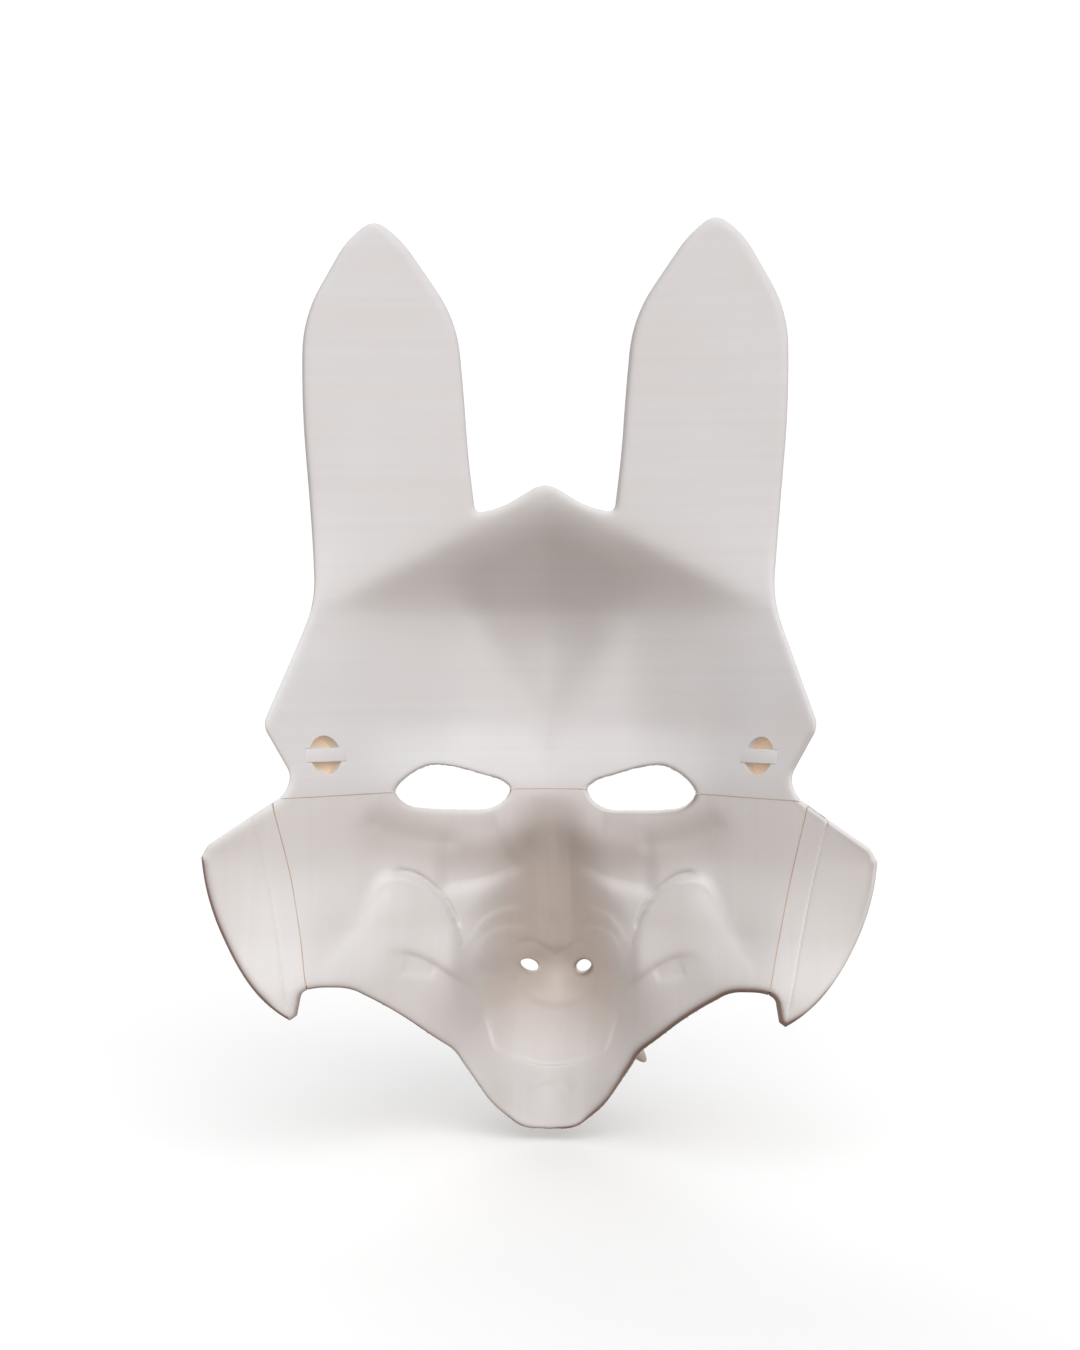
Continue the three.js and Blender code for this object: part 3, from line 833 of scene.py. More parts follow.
# ---------------------------------------------------------------------------------- printed shells
@dataclass
class Shell:
    """One printed wall between a rear and a front face, cut to its own share of the outline."""

    name: str
    form: FaceForm
    outlines: Outlines
    spacing: Spacing
    rim_radius: float = 3.0
    rim_drop: float = 1.5
    most_drop: float = 0.72
    front_drop: float = 0.2
    front_radius: float = 0.9
    eye_radius: float = 1.3
    ring_steps: tuple[float, ...] = (0.0, 0.22, 0.6, 1.15, 1.9, 2.8, 3.8)
    fold_rows: tuple[float, ...] = (-3.2, -2.2, -1.4, -0.8, -0.35, 0.0, 0.35, 0.8, 1.4, 2.2, 3.2)
    arch_rows: tuple[float, ...] = (-2.0, -1.3, -0.9, -0.5, -0.2, 0.2, 0.5, 0.9, 1.3, 2.0)
    arch_pitch: float = 0.8
    fold_pitch: float = 0.9
    loop_pitch: float = 1.2
    ring_slack: float = 0.93
    loop_gap: float = 0.2
    fold_gap: float = 0.26
    grid_gap: float = 0.62
    rim_reach: float = 1.5
    opening_reach: float = 0.9
    # Painted shadow along the jaw's lower rim: its strength and its reach in mm.
    jaw_rim_shadow: float = 0.75
    jaw_rim_shadow_reach: float = 0.75
    # Share of painted shade over the chin.
    chin_shade: float = 0.6

    @property
    def half_gap(self) -> float:
        """Half the gap left at each glued seam."""
        return self.outlines.glue_gap / 2

    def keeps(self, x: Array, z: Array) -> Array:
        """Whether each place belongs to this part of the mask."""
        raise NotImplementedError

    def lines(self) -> list[Array]:
        """Open lines along which this part is cut."""
        raise NotImplementedError

    def loops(self) -> list[Array]:
        """Closed outlines that shape this part."""
        eyes = [self.outlines.eye(side) for side in Side]
        return [self.outlines.edge(), *eyes]

    def rear(self, x: Array, z: Array) -> Array:
        """Depth of the side that faces the wearer."""
        return self.form.inner(x, z)

    def front(self, x: Array, z: Array) -> Array:
        """Depth of the outside."""
        return self.form.outer(x, z)

    def within(self, x: Array, z: Array) -> Array:
        """Whether each place lies on this part's material.

        Args:
            x: Places across.
            z: Places up.

        Returns:
            True for each place on the material.
        """
        result = self.keeps(x, z)
        edge, *holes = self.loops()
        result &= inside(edge, x, z)
        for hole in holes:
            result &= ~inside(hole, x, z)
        return result

    def grid(self) -> Array:
        """Places spread over the whole part, closer where the spacing says.

        Returns:
            Places in x and z.
        """
        low, high = self.outlines.edge().min(axis=0), self.outlines.edge().max(axis=0)
        batches = []
        for pitch in (FINE, MIDDLE, WIDE):
            rows = np.arange(low[1], high[1], pitch * math.sqrt(3) / 2)
            columns = np.arange(low[0], high[0], pitch)
            x, z = np.meshgrid(columns, rows)
            x = x + (np.arange(len(rows)) % 2)[:, None] * pitch / 2
            chosen = np.abs(self.spacing(x, z) - pitch) < 0.05
            batches.append(np.stack([x[chosen], z[chosen]], axis=1))
        points = np.concatenate(batches)
        return points[self.within(points[:, 0], points[:, 1])]

    def rings(self, loop: Array) -> Array:
        """Places at set distances inside a loop, which carry the rounding of its edge.

        Args:
            loop: Points of the loop.

        Returns:
            Places in x and z.
        """
        dense = refine(loop, self.loop_pitch)
        ahead = np.roll(dense, -1, axis=0) - np.roll(dense, 1, axis=0)
        normal = np.stack([ahead[:, 1], -ahead[:, 0]], axis=1)
        normal /= np.linalg.norm(normal, axis=1)[:, None] + 1e-9
        rows = []
        for step in self.ring_steps[1:]:
            for sign in (-1, 1):
                places = dense + normal * sign * step
                away = away_from(loop, places[:, 0], places[:, 1])
                places = places[away > step * self.ring_slack]
                rows.append(places[self.within(places[:, 0], places[:, 1])])
        return np.concatenate(rows)

    def fold_points(self) -> Array:
        """Rows of places on both sides of every fold.

        Returns:
            Places in x and z.
        """
        rows = []
        for fold in self.form.folds:
            for path in fold.paths():
                dense = refine(path, self.fold_pitch, closed=False)
                ahead = np.gradient(dense, axis=0)
                normal = np.stack([-ahead[:, 1], ahead[:, 0]], axis=1)
                normal /= np.linalg.norm(normal, axis=1)[:, None]
                rows.extend(dense + normal * step for step in self.fold_rows)
        knots, heights = (np.array(row, dtype=float) for row in zip(*self.form.lip_arch))
        out = np.arange(knots[0], knots[-1], self.arch_pitch)
        arch = curve_through(knots, heights, out)
        for step in self.arch_rows:
            rows.extend(np.stack([sign * out, arch + step], axis=1) for sign in (1, -1))
        points = np.concatenate(rows)
        points = points[self.within(points[:, 0], points[:, 1])]
        cell = 0.34
        _, first = np.unique(np.round(points / cell), axis=0, return_index=True)
        return points[np.sort(first)]

    def spread(self) -> Array:
        """All places inside the part, thinned so that no two nearly meet.

        Returns:
            Places in x and z.
        """
        loops = self.loops()
        batches = [self.rings(loop) for loop in loops] + [self.fold_points(), self.grid()]
        order = np.concatenate(batches)
        gaps = np.concatenate([
            np.full(len(batch), gap)
            for batch, gap in zip(batches, [self.loop_gap] * len(loops) + [self.fold_gap, self.grid_gap])
        ])
        taken: dict[tuple[int, int], list[tuple[float, float]]] = {}
        cell = 0.7
        kept = []
        for (x, z), gap in zip(order.tolist(), gaps.tolist()):
            column, row = int(x // cell), int(z // cell)
            near = (
                other
                for i in (column - 1, column, column + 1)
                for j in (row - 1, row, row + 1)
                for other in taken.get((i, j), ())
            )
            if any((x - ox) ** 2 + (z - oz) ** 2 < gap * gap for ox, oz in near):
                continue
            taken.setdefault((column, row), []).append((x, z))
            kept.append((x, z))
        return np.array(kept)

    def triangles(self) -> tuple[Array, Array]:
        """Triangulates the part over x and z.

        Returns:
            Places in x and z, and the corner numbers of each triangle.
        """
        points: list[Vector] = []
        edges: list[tuple[int, int]] = []
        for loop in (refine(loop, self.loop_pitch) for loop in self.loops()):
            start = len(points)
            points.extend(Vector(place) for place in loop)
            edges.extend((start + i, start + (i + 1) % len(loop)) for i in range(len(loop)))
        for line in (refine(line, self.loop_pitch, closed=False) for line in self.lines()):
            start = len(points)
            points.extend(Vector(place) for place in line)
            edges.extend((start + i, start + i + 1) for i in range(len(line) - 1))
        points.extend(Vector(place) for place in self.spread())
        places, _, faces, *_ = delaunay_2d_cdt(points, edges, [], 0, 1e-5)
        flat = np.array([tuple(place) for place in places])
        corners = np.array([face for face in faces if len(face) == 3])
        middle = flat[corners].mean(axis=1)
        corners = corners[self.within(middle[:, 0], middle[:, 1])]
        used, renumbered = np.unique(corners, return_inverse=True)
        corners = renumbered.reshape(-1, 3)
        flat = flat[used]
        a, b, c = (flat[corners[:, k]] for k in range(3))
        turn = (b[:, 0] - a[:, 0]) * (c[:, 1] - a[:, 1]) - (b[:, 1] - a[:, 1]) * (c[:, 0] - a[:, 0])
        corners[turn < 0] = corners[turn < 0][:, ::-1]
        return flat, corners

    def edge_distance(self, x: Array, z: Array) -> tuple[Array, Array]:
        """Distance to the mask's own edge and to the nearest opening."""
        edge, *openings = (away_from(loop, x, z) for loop in self.loops())
        return edge, np.minimum.reduce(openings)

    def build(self) -> bpy.types.Object:
        """Makes the wall as one closed mesh.

        Returns:
            The wall.
        """
        flat, corners = self.triangles()
        x, z = flat[:, 0], flat[:, 1]
        outer_away, eye_away = self.edge_distance(x, z)

        def arc(away: Array, radius: float) -> Array:
            """Share of a quarter round that is cut away at a distance from the edge."""
            return 1.0 - np.sqrt(1.0 - (1.0 - clamp01(away / radius)) ** 2)

        slope = self.form.stretch(x, z)
        rear, front = self.rear(x, z), self.front(x, z)
        room = front - rear
        drop = self.rim_drop * arc(outer_away, self.rim_radius) * slope
        drop = np.maximum(drop, arc(eye_away, self.eye_radius) * slope)
        rear = rear + np.minimum(drop, room * self.most_drop)
        front = front - self.front_drop * room * arc(np.minimum(outer_away, eye_away), self.front_radius)
        count = len(flat)
        vertices = np.concatenate([
            np.stack([x, rear, z], axis=1),
            np.stack([x, front, z], axis=1),
        ])
        directed = {(int(a), int(b)) for tri in corners for a, b in zip(tri, np.roll(tri, -1))}
        walls = [(b, a, a + count, b + count) for a, b in directed if (b, a) not in directed]
        faces = [*corners.tolist(), *(corners[:, ::-1] + count).tolist(), *walls]
        return mesh_object(self.name, vertices, faces)

    def mark(self, obj: bpy.types.Object) -> None:
        """Stores how close each vertex is to a rim and to an opening, and masks of painted rim shadow,
        painted warm shade and painted shade, for the finish to read.

        Args:
            obj: The piece.
        """
        x, y, z = vertex_places(obj).T
        outer_away, eye_away = self.edge_distance(x, z)
        # Painted shadow: a dark band along the jaw's lower rim and the left wing's outer rim, where these
        # rims face away from the light.
        jaw = smooth_between((-52, -58), z)
        left_wing = smooth_between((-78, -83), x) * smooth_between((-17, -20), z)
        jaw_rim_shadow = self.jaw_rim_shadow * bell(outer_away / self.jaw_rim_shadow_reach) * jaw
        wing_rim_shadow = bell(outer_away / self.rim_reach) * left_wing
        # Painted warm shade deep in the snout channel.
        snout = smooth_between((58, 98), y) * smooth_between((8, -8), z) * smooth_between((-100, -74), z)
        # Painted shade over the chin.
        chin = self.chin_shade * smooth_between((-90, -106), z)
        behind = y < self.form.outer(x, z) - 1
        for name, values in {
            "rim": bell(outer_away / self.rim_reach),
            "opening": bell(eye_away / self.opening_reach),
            "painted_rim_shadow": np.maximum(jaw_rim_shadow, wing_rim_shadow),
            # Painted warm shade of the snout and under the eyes; painted shade of the forehead hollow,
            # under the eyes and on the chin.
            "deep": np.maximum(snout, 0.75 * self.form.socket_shade(x, z)),
            "hollow": np.maximum(self.form.vault_shade(x, z), chin) * behind,
        }.items():
            set_attribute(obj, name, values)


@dataclass
class BrowShell(Shell):
    """Forehead and both ears, with a strap pocket at each temple."""

    anchor: Point = (69, 13.2)
    pocket_diameter: float = 12.6
    pocket_depth: float = 4.6
    pocket_floor: float = 1.4
    pocket_rim: float = 2.4
    bar_height: float = 4.6
    bar_thickness: float = 2.2
    bar_seat: float = 1.6
    seat_clearance: float = 0.03
    run_past: float = 6.0

    def keeps(self, x: Array, z: Array) -> Array:
        """Everything above the seam through the eyes."""
        return z > self.half_gap

    def lines(self) -> list[Array]:
        """The seam through the eyes."""
        return [self.outlines.glue_line(self.half_gap)]

    def anchor_frame(self, side: Side) -> Matrix:
        """Frame of a strap pocket: X along the bar, Y up the face, Z forward through the wall.

        Args:
            side: Half of the mask.

        Returns:
            Matrix from the pocket's own frame to the mask's.
        """
        x, z = self.anchor
        probe = 0.5
        right, left, above, below, here = self.form.inner(
            np.array([x + probe, x - probe, x, x, x]), np.array([z, z, z + probe, z - probe, z]),
        ).tolist()
        across, up = right - left, above - below
        along = Vector((1, side.value * across, 0)).normalized()
        forward = Vector((-side.value * across, 1, -up)).normalized()
        rise = forward.cross(along)
        origin = Vector((side.value * x, here, z))
        turn = Matrix((along, rise, forward)).transposed().to_4x4()
        return Matrix.Translation(origin) @ turn

    def plug(self, side: Side, radius: float, start: float, end: float) -> bpy.types.Object:
        """Round body along a pocket's own axis.

        Args:
            side: Half of the mask.
            radius: Radius of the body.
            start: Depth of its rear end.
            end: Depth of its front end.

        Returns:
            The body.
        """
        sides = 48
        turns = [2 * math.pi * i / sides for i in range(sides)]
        ring = [(radius * math.cos(t), radius * math.sin(t)) for t in turns]
        vertices = [(*place, start) for place in ring] + [(*place, end) for place in ring]
        faces: list[Sequence[int]] = [list(range(sides))[::-1], list(range(sides, 2 * sides))]
        faces += [(i, (i + 1) % sides, sides + (i + 1) % sides, sides + i) for i in range(sides)]
        matrix = self.anchor_frame(side)
        return mesh_object("plug", np.array([matrix @ Vector(v) for v in vertices]), faces)

    def bar_block(self, name: str, side: Side, grow: float, rear_reach: float) -> bpy.types.Object:
        """Straight block in the place of a strap bar, grown by a clearance.

        Args:
            name: Name of the block.
            side: Half of the mask.
            grow: Clearance on every side.
            rear_reach: How far it runs behind the wall.

        Returns:
            The block.
        """
        half_length = self.pocket_diameter / 2 + self.bar_seat + grow
        half_height = self.bar_height / 2 + grow
        low, high = -rear_reach, self.bar_thickness + grow
        corners = [
            (sx * half_length, sy * half_height, depth)
            for depth in (low, high) for sy in (-1, 1) for sx in (-1, 1)
        ]
        faces = [(0, 2, 3, 1), (4, 5, 7, 6), (0, 1, 5, 4), (2, 6, 7, 3), (0, 4, 6, 2), (1, 3, 7, 5)]
        matrix = self.anchor_frame(side)
        return mesh_object(name, np.array([matrix @ Vector(v) for v in corners]), faces)

    def build(self) -> bpy.types.Object:
        """Makes the wall, then adds and cuts the strap pockets.

        Returns:
            The brow with its pockets.
        """
        obj = super().build()
        radius = self.pocket_diameter / 2
        for side in Side:
            boss = self.plug(side, radius + self.pocket_rim, self.form.wall / 2,
                             self.pocket_depth + self.pocket_floor)
            combine(obj, boss, "UNION")
            combine(obj, self.plug(side, radius, -self.run_past, self.pocket_depth), "DIFFERENCE")
            seat = self.bar_block("seat", side, self.seat_clearance, self.run_past)
            combine(obj, seat, "DIFFERENCE")
        return obj

    def mark(self, obj: bpy.types.Object) -> None:
        """Stores rims and how deep each vertex lies in a pocket, for the painted light of the pocket
        floors.

        Args:
            obj: The piece.
        """
        super().mark(obj)
        places = vertex_places(obj)
        depth = np.zeros(len(places))
        for side in Side:
            inverse = np.array(self.anchor_frame(side).inverted())
            local = places @ inverse[:3, :3].T + inverse[:3, 3]
            near = np.hypot(local[:, 0], local[:, 1]) < self.pocket_diameter / 2 + 0.2
            sunk = clamp01(local[:, 2] / self.pocket_depth)
            depth = np.maximum(depth, np.where(near & (local[:, 2] < self.pocket_depth + 0.2), sunk, 0))
        set_attribute(obj, "pocket", depth)


@dataclass
class MuzzleShell(Shell):
    """Snout, gum panels, lip and chin, with the front half of the joint under each wing."""

    def keeps(self, x: Array, z: Array) -> Array:
        """Below the eye seam, out to the far side of each half-lap joint."""
        gap = self.half_gap
        return (z < -gap) & (np.abs(x) < self.outlines.seam(z) + self.outlines.lap - gap)

    def lines(self) -> list[Array]:
        """Eye seam, and both sides of the step at each wing seam.

        Returns:
            Points of each line.
        """
        gap = self.half_gap
        shifts = (-gap - 0.02, -gap + 0.02, self.outlines.lap - gap)
        steps = [self.outlines.seam_line(side, shift) for side in Side for shift in shifts]
        return [self.outlines.glue_line(-gap), *steps]

    def loops(self) -> list[Array]:
        """Mask edge, eyes and nostrils."""
        return [*super().loops(), *(self.outlines.nostril_loop(side) for side in Side)]

    def rear(self, x: Array, z: Array) -> Array:
        """Inner face, stepped forward to the middle of the wall under each wing.

        Args:
            x: Places across.
            z: Places up.

        Returns:
            Depth at each place.
        """
        inner, outer = self.form.inner(x, z), self.form.outer(x, z)
        gap = self.half_gap
        lapped = np.abs(x) > self.outlines.seam(z) - gap
        return np.where(lapped, (inner + outer) / 2 + gap * self.form.stretch(x, z), inner)


@dataclass
class CheekWing(Shell):
    """Outer cheek with the rear half of the joint."""

    side: Side = Side.RIGHT

    def keeps(self, x: Array, z: Array) -> Array:
        """Below the eye seam and outside the wing seam."""
        gap = self.half_gap
        return (z < -gap) & (self.side.value * x > self.outlines.seam(z) + gap)

    def lines(self) -> list[Array]:
        """Eye seam, wing seam, and both sides of the step on the wing's front.

        Returns:
            Points of each line.
        """
        gap = self.half_gap
        shifts = (gap, self.outlines.lap + gap - 0.02, self.outlines.lap + gap + 0.02)
        return [self.outlines.glue_line(-gap), *(self.outlines.seam_line(self.side, s) for s in shifts)]

    def front(self, x: Array, z: Array) -> Array:
        """Outside, stepped back to the middle of the wall over the joint.

        Args:
            x: Places across.
            z: Places up.

        Returns:
            Depth at each place.
        """
        inner, outer = self.form.inner(x, z), self.form.outer(x, z)
        gap = self.half_gap
        lapped = np.abs(x) < self.outlines.seam(z) + self.outlines.lap + gap
        return np.where(lapped, (inner + outer) / 2 - gap * self.form.stretch(x, z), outer)


# ---------------------------------------------------------------------------------- small pieces
@dataclass
class StrapBar:
    """Bar across a strap pocket, with softened edges."""

    brow: BrowShell
    side: Side
    softness: float = 0.25
    crease: float = 40.0

    def build(self) -> bpy.types.Object:
        """Makes the bar with rounded edges.

        Returns:
            The bar.
        """
        obj = self.brow.bar_block(f"strap_bar_{self.side.word}_piece", self.side, 0.0, 0.0)
        bevel = obj.modifiers.new("edges", "BEVEL")
        bevel.width = self.softness * MM
        bevel.segments = 3
        settle(obj)
        shade(obj, self.crease)
        return obj


@dataclass
class Fang:
    """Curved tooth standing on the outside of the lip."""

    form: FaceForm
    side: Side
    root: Point = (22.8, -84.2)
    length: float = 20.0
    radius: float = 3.8
    fullness: float = 1.4
    stand: float = 1.4
    splay: tuple[float, float] = (0.6, 0.05)
    tilt: float = 0.5
    gap: float = 0.3
    bend: float = 1.0
    ring_crowding: float = 1.35
    root_tint_fall: float = 1.6
    crease: float = 50.0
    rings: int = 26
    sides: int = 36

    def faces(self) -> list[tuple[int, ...]]:
        """Corner numbers of the root, the rings and the tip.

        Returns:
            Corners of each face.
        """
        last = 1 + (self.rings - 1) * self.sides
        tip = last + self.sides
        faces: list[tuple[int, ...]] = []
        for k in range(self.sides):
            ahead = (k + 1) % self.sides
            faces.append((0, 1 + k, 1 + ahead))
            for here in range(1, last, self.sides):
                there = here + self.sides
                faces.append((here + k, there + k, there + ahead, here + ahead))
            faces.append((last + k, tip, last + ahead))
        return faces

    def build(self) -> bpy.types.Object:
        """Makes the tooth as rings round a gently bent axis, its back lying along the lip.

        Returns:
            The tooth.
        """
        splay = self.splay[0] if self.side is Side.RIGHT else self.splay[1]
        turn = Matrix.Rotation(-self.side.value * splay, 4, "Y")
        turn = turn @ Matrix.Rotation(self.tilt - math.pi / 2, 4, "X")
        lip = float(self.form.outer(np.array([self.root[0]]), np.array([self.root[1]]))[0])
        origin = Vector((self.side.value * self.root[0], lip + self.stand, self.root[1]))
        matrix = Matrix.Translation(origin) @ turn
        places = [matrix @ Vector((0, 0, 0))]
        for i in range(self.rings):
            t = 1.0 - (1.0 - i / self.rings) ** self.ring_crowding
            radius = self.radius * math.sqrt(max(1.0 - t ** self.fullness, 0.0))
            sway = self.bend * math.sin(math.pi * t)
            for k in range(self.sides):
                angle = 2 * math.pi * k / self.sides
                local = Vector((radius * math.cos(angle), t * self.length, radius * math.sin(angle) - sway))
                places.append(matrix @ local)
        places.append(matrix @ Vector((0, self.length, 0)))
        vertices = np.array(places)
        back = self.form.outer(vertices[:, 0], vertices[:, 2])
        back += self.gap * self.form.stretch(vertices[:, 0], vertices[:, 2])
        vertices[:, 1] = np.maximum(vertices[:, 1], back)
        obj = mesh_object(f"fang_{self.side.word}_piece", vertices, self.faces())
        tidy = bmesh.new()
        tidy.from_mesh(obj.data)
        bmesh.ops.remove_doubles(tidy, verts=tidy.verts, dist=0.005 * MM)
        bmesh.ops.recalc_face_normals(tidy, faces=tidy.faces)
        tidy.to_mesh(obj.data)
        tidy.free()
        shade(obj, self.crease)
        up = vertex_places(obj)[:, 2]
        set_attribute(obj, "root_end", 1.0 - clamp01((up.max() - up) / np.ptp(up) * self.root_tint_fall))
        return obj


# ---------------------------------------------------------------------------------- node trees
class Signal:
    """A socket that takes part in plain arithmetic."""

    def __init__(self, book: "NodeBook", socket: bpy.types.NodeSocket) -> None:
        """Wraps one output socket of a tree."""
        self.book = book
        self.socket = socket

    def _math(self, operation: str, *values: Any) -> "Signal":
        """Adds one Math node over the given values."""
        return self.book.node("ShaderNodeMath", {"operation": operation}, *values)

    def __add__(self, other: Any) -> "Signal":
        """Sum."""
        return self._math("ADD", self, other)

    __radd__ = __add__

    def __sub__(self, other: Any) -> "Signal":
        """Difference."""
        return self._math("SUBTRACT", self, other)

    def __rsub__(self, other: Any) -> "Signal":
        """Difference the other way round."""
        return self._math("SUBTRACT", other, self)

    def __mul__(self, other: Any) -> "Signal":
        """Product."""
        return self._math("MULTIPLY", self, other)

    __rmul__ = __mul__

    def sine(self) -> "Signal":
        """Sine."""
        return self._math("SINE", self)

    def held(self) -> "Signal":
        """Value held between 0 and 1."""
        low = self._math("MAXIMUM", self, 0.0)
        return self._math("MINIMUM", low, 1.0)


class NodeBook:
    """Adds nodes to one tree and links them."""

    def __init__(self, tree: bpy.types.NodeTree) -> None:
        """Starts with an empty tree."""
        self.tree = tree
        tree.nodes.clear()

    def node(self, kind: str, settings: dict[str, Any] | None = None, *values: Any,
             output: int | str = 0, **named: Any) -> Signal:
        """Adds one node.

        Args:
            kind: The node's type name.
            settings: Properties, which are set first.
            *values: Numbers, vectors or signals for its first inputs, in order; None skips one.
            output: Which output to return.
            **named: The same for inputs by name, with _ for a blank.

        Returns:
            The chosen output.
        """
        made = self.tree.nodes.new(kind)
        for key, value in (settings or {}).items():
            setattr(made, key, value)
        pairs = list(enumerate(values)) + [(key.replace("_", " "), value) for key, value in named.items()]
        for key, value in pairs:
            socket = made.inputs[key]
            if isinstance(value, Signal):
                self.tree.links.new(value.socket, socket)
            elif value is not None:
                socket.default_value = value
        if not made.outputs:
            return Signal(self, made.inputs[0])
        return Signal(self, made.outputs[output])

    def mix(self, share: Any, first: Any, second: Any) -> Signal:
        """Mixes two colours.

        Args:
            share: Share of the second colour.
            first: Colour or signal.
            second: Colour or signal.

        Returns:
            The mixed colour.
        """
        ends = [(*end, 1.0) if isinstance(end, tuple) else end for end in (first, second)]
        skipped = [None] * 5
        return self.node("ShaderNodeMix", {"data_type": "RGBA"}, share, *skipped, *ends, output=2)

    def given(self, name: str) -> Signal:
        """A named input of a geometry tree."""
        return self.node("NodeGroupInput", output=name)

    def mark(self, name: str) -> Signal:
        """A number stored on the piece's vertices."""
        return self.node("ShaderNodeAttribute", {"attribute_name": name}, output="Fac")

    def noise(self, place: Signal, scale: float, detail: float) -> Signal:
        """Soft random clouds over a place."""
        return self.node("ShaderNodeTexNoise", {}, place, Scale=scale, Detail=detail, output=0)

    def dot(self, first: Any, second: Any) -> Signal:
        """Dot product of two vectors."""
        settings = {"operation": "DOT_PRODUCT"}
        return self.node("ShaderNodeVectorMath", settings, first, second, output="Value")

    def scatter(self, low: Triple, high: Triple) -> Signal:
        """Random vector of each instance, drawn with the tree's seed."""
        settings = {"data_type": "FLOAT_VECTOR"}
        return self.node("FunctionNodeRandomValue", settings, low, high, Seed=self.given("Seed"))

    def end_grown(self, geometry: Signal, finish: str) -> None:
        """Ends a geometry tree with real copies and a finish.

        Args:
            geometry: Geometry to end with.
            finish: Name of the input that holds the finish.
        """
        real = self.node("GeometryNodeRealizeInstances", {}, geometry)
        dressed = self.node("GeometryNodeSetMaterial", {}, real, Material=self.given(finish))
        self.node("NodeGroupOutput", {}, dressed)


def srgb(red: float, green: float, blue: float) -> Triple:
    """Linear colour from display values out of 255.

    Args:
        red: Red.
        green: Green.
        blue: Blue.

    Returns:
        The linear colour.
    """
    def line(value: float) -> float:
        """One channel."""
        share = value / 255
        return share / 12.92 if share <= 0.04045 else ((share + 0.055) / 1.055) ** 2.4
    return (line(red), line(green), line(blue))


def start_material(name: str) -> tuple[bpy.types.Material, NodeBook]:
    """Empty node material.

    Args:
        name: Name of the finish.

    Returns:
        The material and its tree's book.
    """
    material = bpy.data.materials.new(name)
    material.use_nodes = True
    return material, NodeBook(material.node_tree)


@dataclass(frozen=True)
class PrintedPlastic:
    """Matte warm-white printed plastic with layer lines, painted shade in its hollows, a painted shadow on
    rims that face down and to the left, and painted light in the strap pockets.
    """

    name: str
    color: Triple = srgb(221, 221, 223)
    warm: Triple = srgb(212, 205, 201)
    # Painted warm shade for the deep snout and under the eyes.
    painted_warm_shade: Triple = srgb(216, 205, 196)
    # Painted shade for the forehead hollow, under the eyes and the chin.
    shaded: Triple = srgb(160, 152, 149)
    # Painted shadow for rims that face away from the light.
    rim_shadow_colour: Triple = srgb(112, 82, 70)
    # Painted light: a light tan floor and a faint glow stand in for light showing through the thin floors
    # of the strap pockets.
    pocket: Triple = srgb(236, 219, 199)
    glow: Triple = srgb(104, 89, 72)
    build_axis: Triple = (0, 0.12, 1)
    band_scale: Triple = (7, 7, 420)
    cloud_scale: float = 22.0
    wobble_scale: float = 60.0
    grain_scale: float = 2600.0
    layer: float = 0.28
    layer_relief: float = 0.03
    # Shares of the painted warm shade, painted shade, painted pocket light and painted rim shadow, and the
    # direction that shadowed rims face.
    painted_warm_shade_share: float = 0.65
    shaded_share: float = 0.4
    pocket_share: float = 0.8
    rim_shadow_share: float = 0.3
    rim_shadow_from: Triple = (-0.75, 0.0, -0.65)
    roughness: float = 0.58

    def make(self) -> bpy.types.Material:
        """Builds the material's nodes.

        Returns:
            The finished material.
        """
        material, book = start_material(self.name)
        place = book.node("ShaderNodeTexCoord", output="Object")
        cloudy = book.noise(place, self.cloud_scale, 3.0)
        wobble = book.noise(place, self.wobble_scale, 1.0)
        grain = book.noise(place, self.grain_scale, 2.0)
        height = book.dot(place, tuple(Vector(self.build_axis).normalized()))
        turns = height * (2 * math.pi / (self.layer * MM)) + wobble * 5.0
        ridges = turns.sine() * 0.5 + 0.5
        # rim and opening are distances; the rest are masks of painted pocket light, painted shade, painted
        # warm shade and painted rim shadow.
        names = ("rim", "opening", "pocket", "hollow", "deep", "painted_rim_shadow")
        rim, opening, pocket, hollow, deep, painted_rim_shadow = (book.mark(name) for name in names)
        stretched = book.node("ShaderNodeVectorMath", {"operation": "MULTIPLY"}, place, self.band_scale)
        bands = book.noise(stretched, 1.0, 3.0)
        printed = book.mix((cloudy * 0.5 + ridges * 0.1 + bands * 0.5 - 0.4).held(), self.color, self.warm)
        # Painted warm shade, then painted shade in the hollows.
        painted_warm_shade = book.mix((deep * self.painted_warm_shade_share).held(), printed, self.painted_warm_shade)
        with_painted_shade = book.mix((hollow * self.shaded_share).held(), painted_warm_shade, self.shaded)
        # Painted shadow: rims and eye openings whose normal faces down and to the left turn dark brown, on
        # top of the painted rim shadow mask.
        facing = book.node("ShaderNodeNewGeometry", output="Normal")
        down = (book.dot(facing, self.rim_shadow_from) * 2.6 - 0.1).held()
        facing_rim_shade = ((rim * 1.5 + opening * 0.9) * down).held()
        with_rim_shadow = book.mix((facing_rim_shade * self.rim_shadow_share + painted_rim_shadow).held() * 0.85, with_painted_shade, self.rim_shadow_colour)
        # Painted light in the strap pockets: a light tan floor and a glow that is no lamp.
        colour = book.mix((pocket * self.pocket_share).held(), with_rim_shadow, self.pocket)
        relief = ridges * (cloudy * 0.8 + 0.3) + bands * 1.1 + grain * 0.35
        normal = book.node("ShaderNodeBump", {}, Strength=0.6, Distance=self.layer_relief * MM,
                           Height=relief)
        glow = book.mix((pocket * 1.2 - 0.2).held(), (0.0, 0.0, 0.0), self.glow)
        shader = book.node(
            "ShaderNodeBsdfPrincipled", {}, Base_Color=colour, Emission_Color=glow,
            Emission_Strength=1.0,
            Roughness=(self.roughness - 0.08 * ridges + 0.12 * cloudy).held(), Normal=normal,
        )
        book.node("ShaderNodeOutputMaterial", {}, shader)
        return material


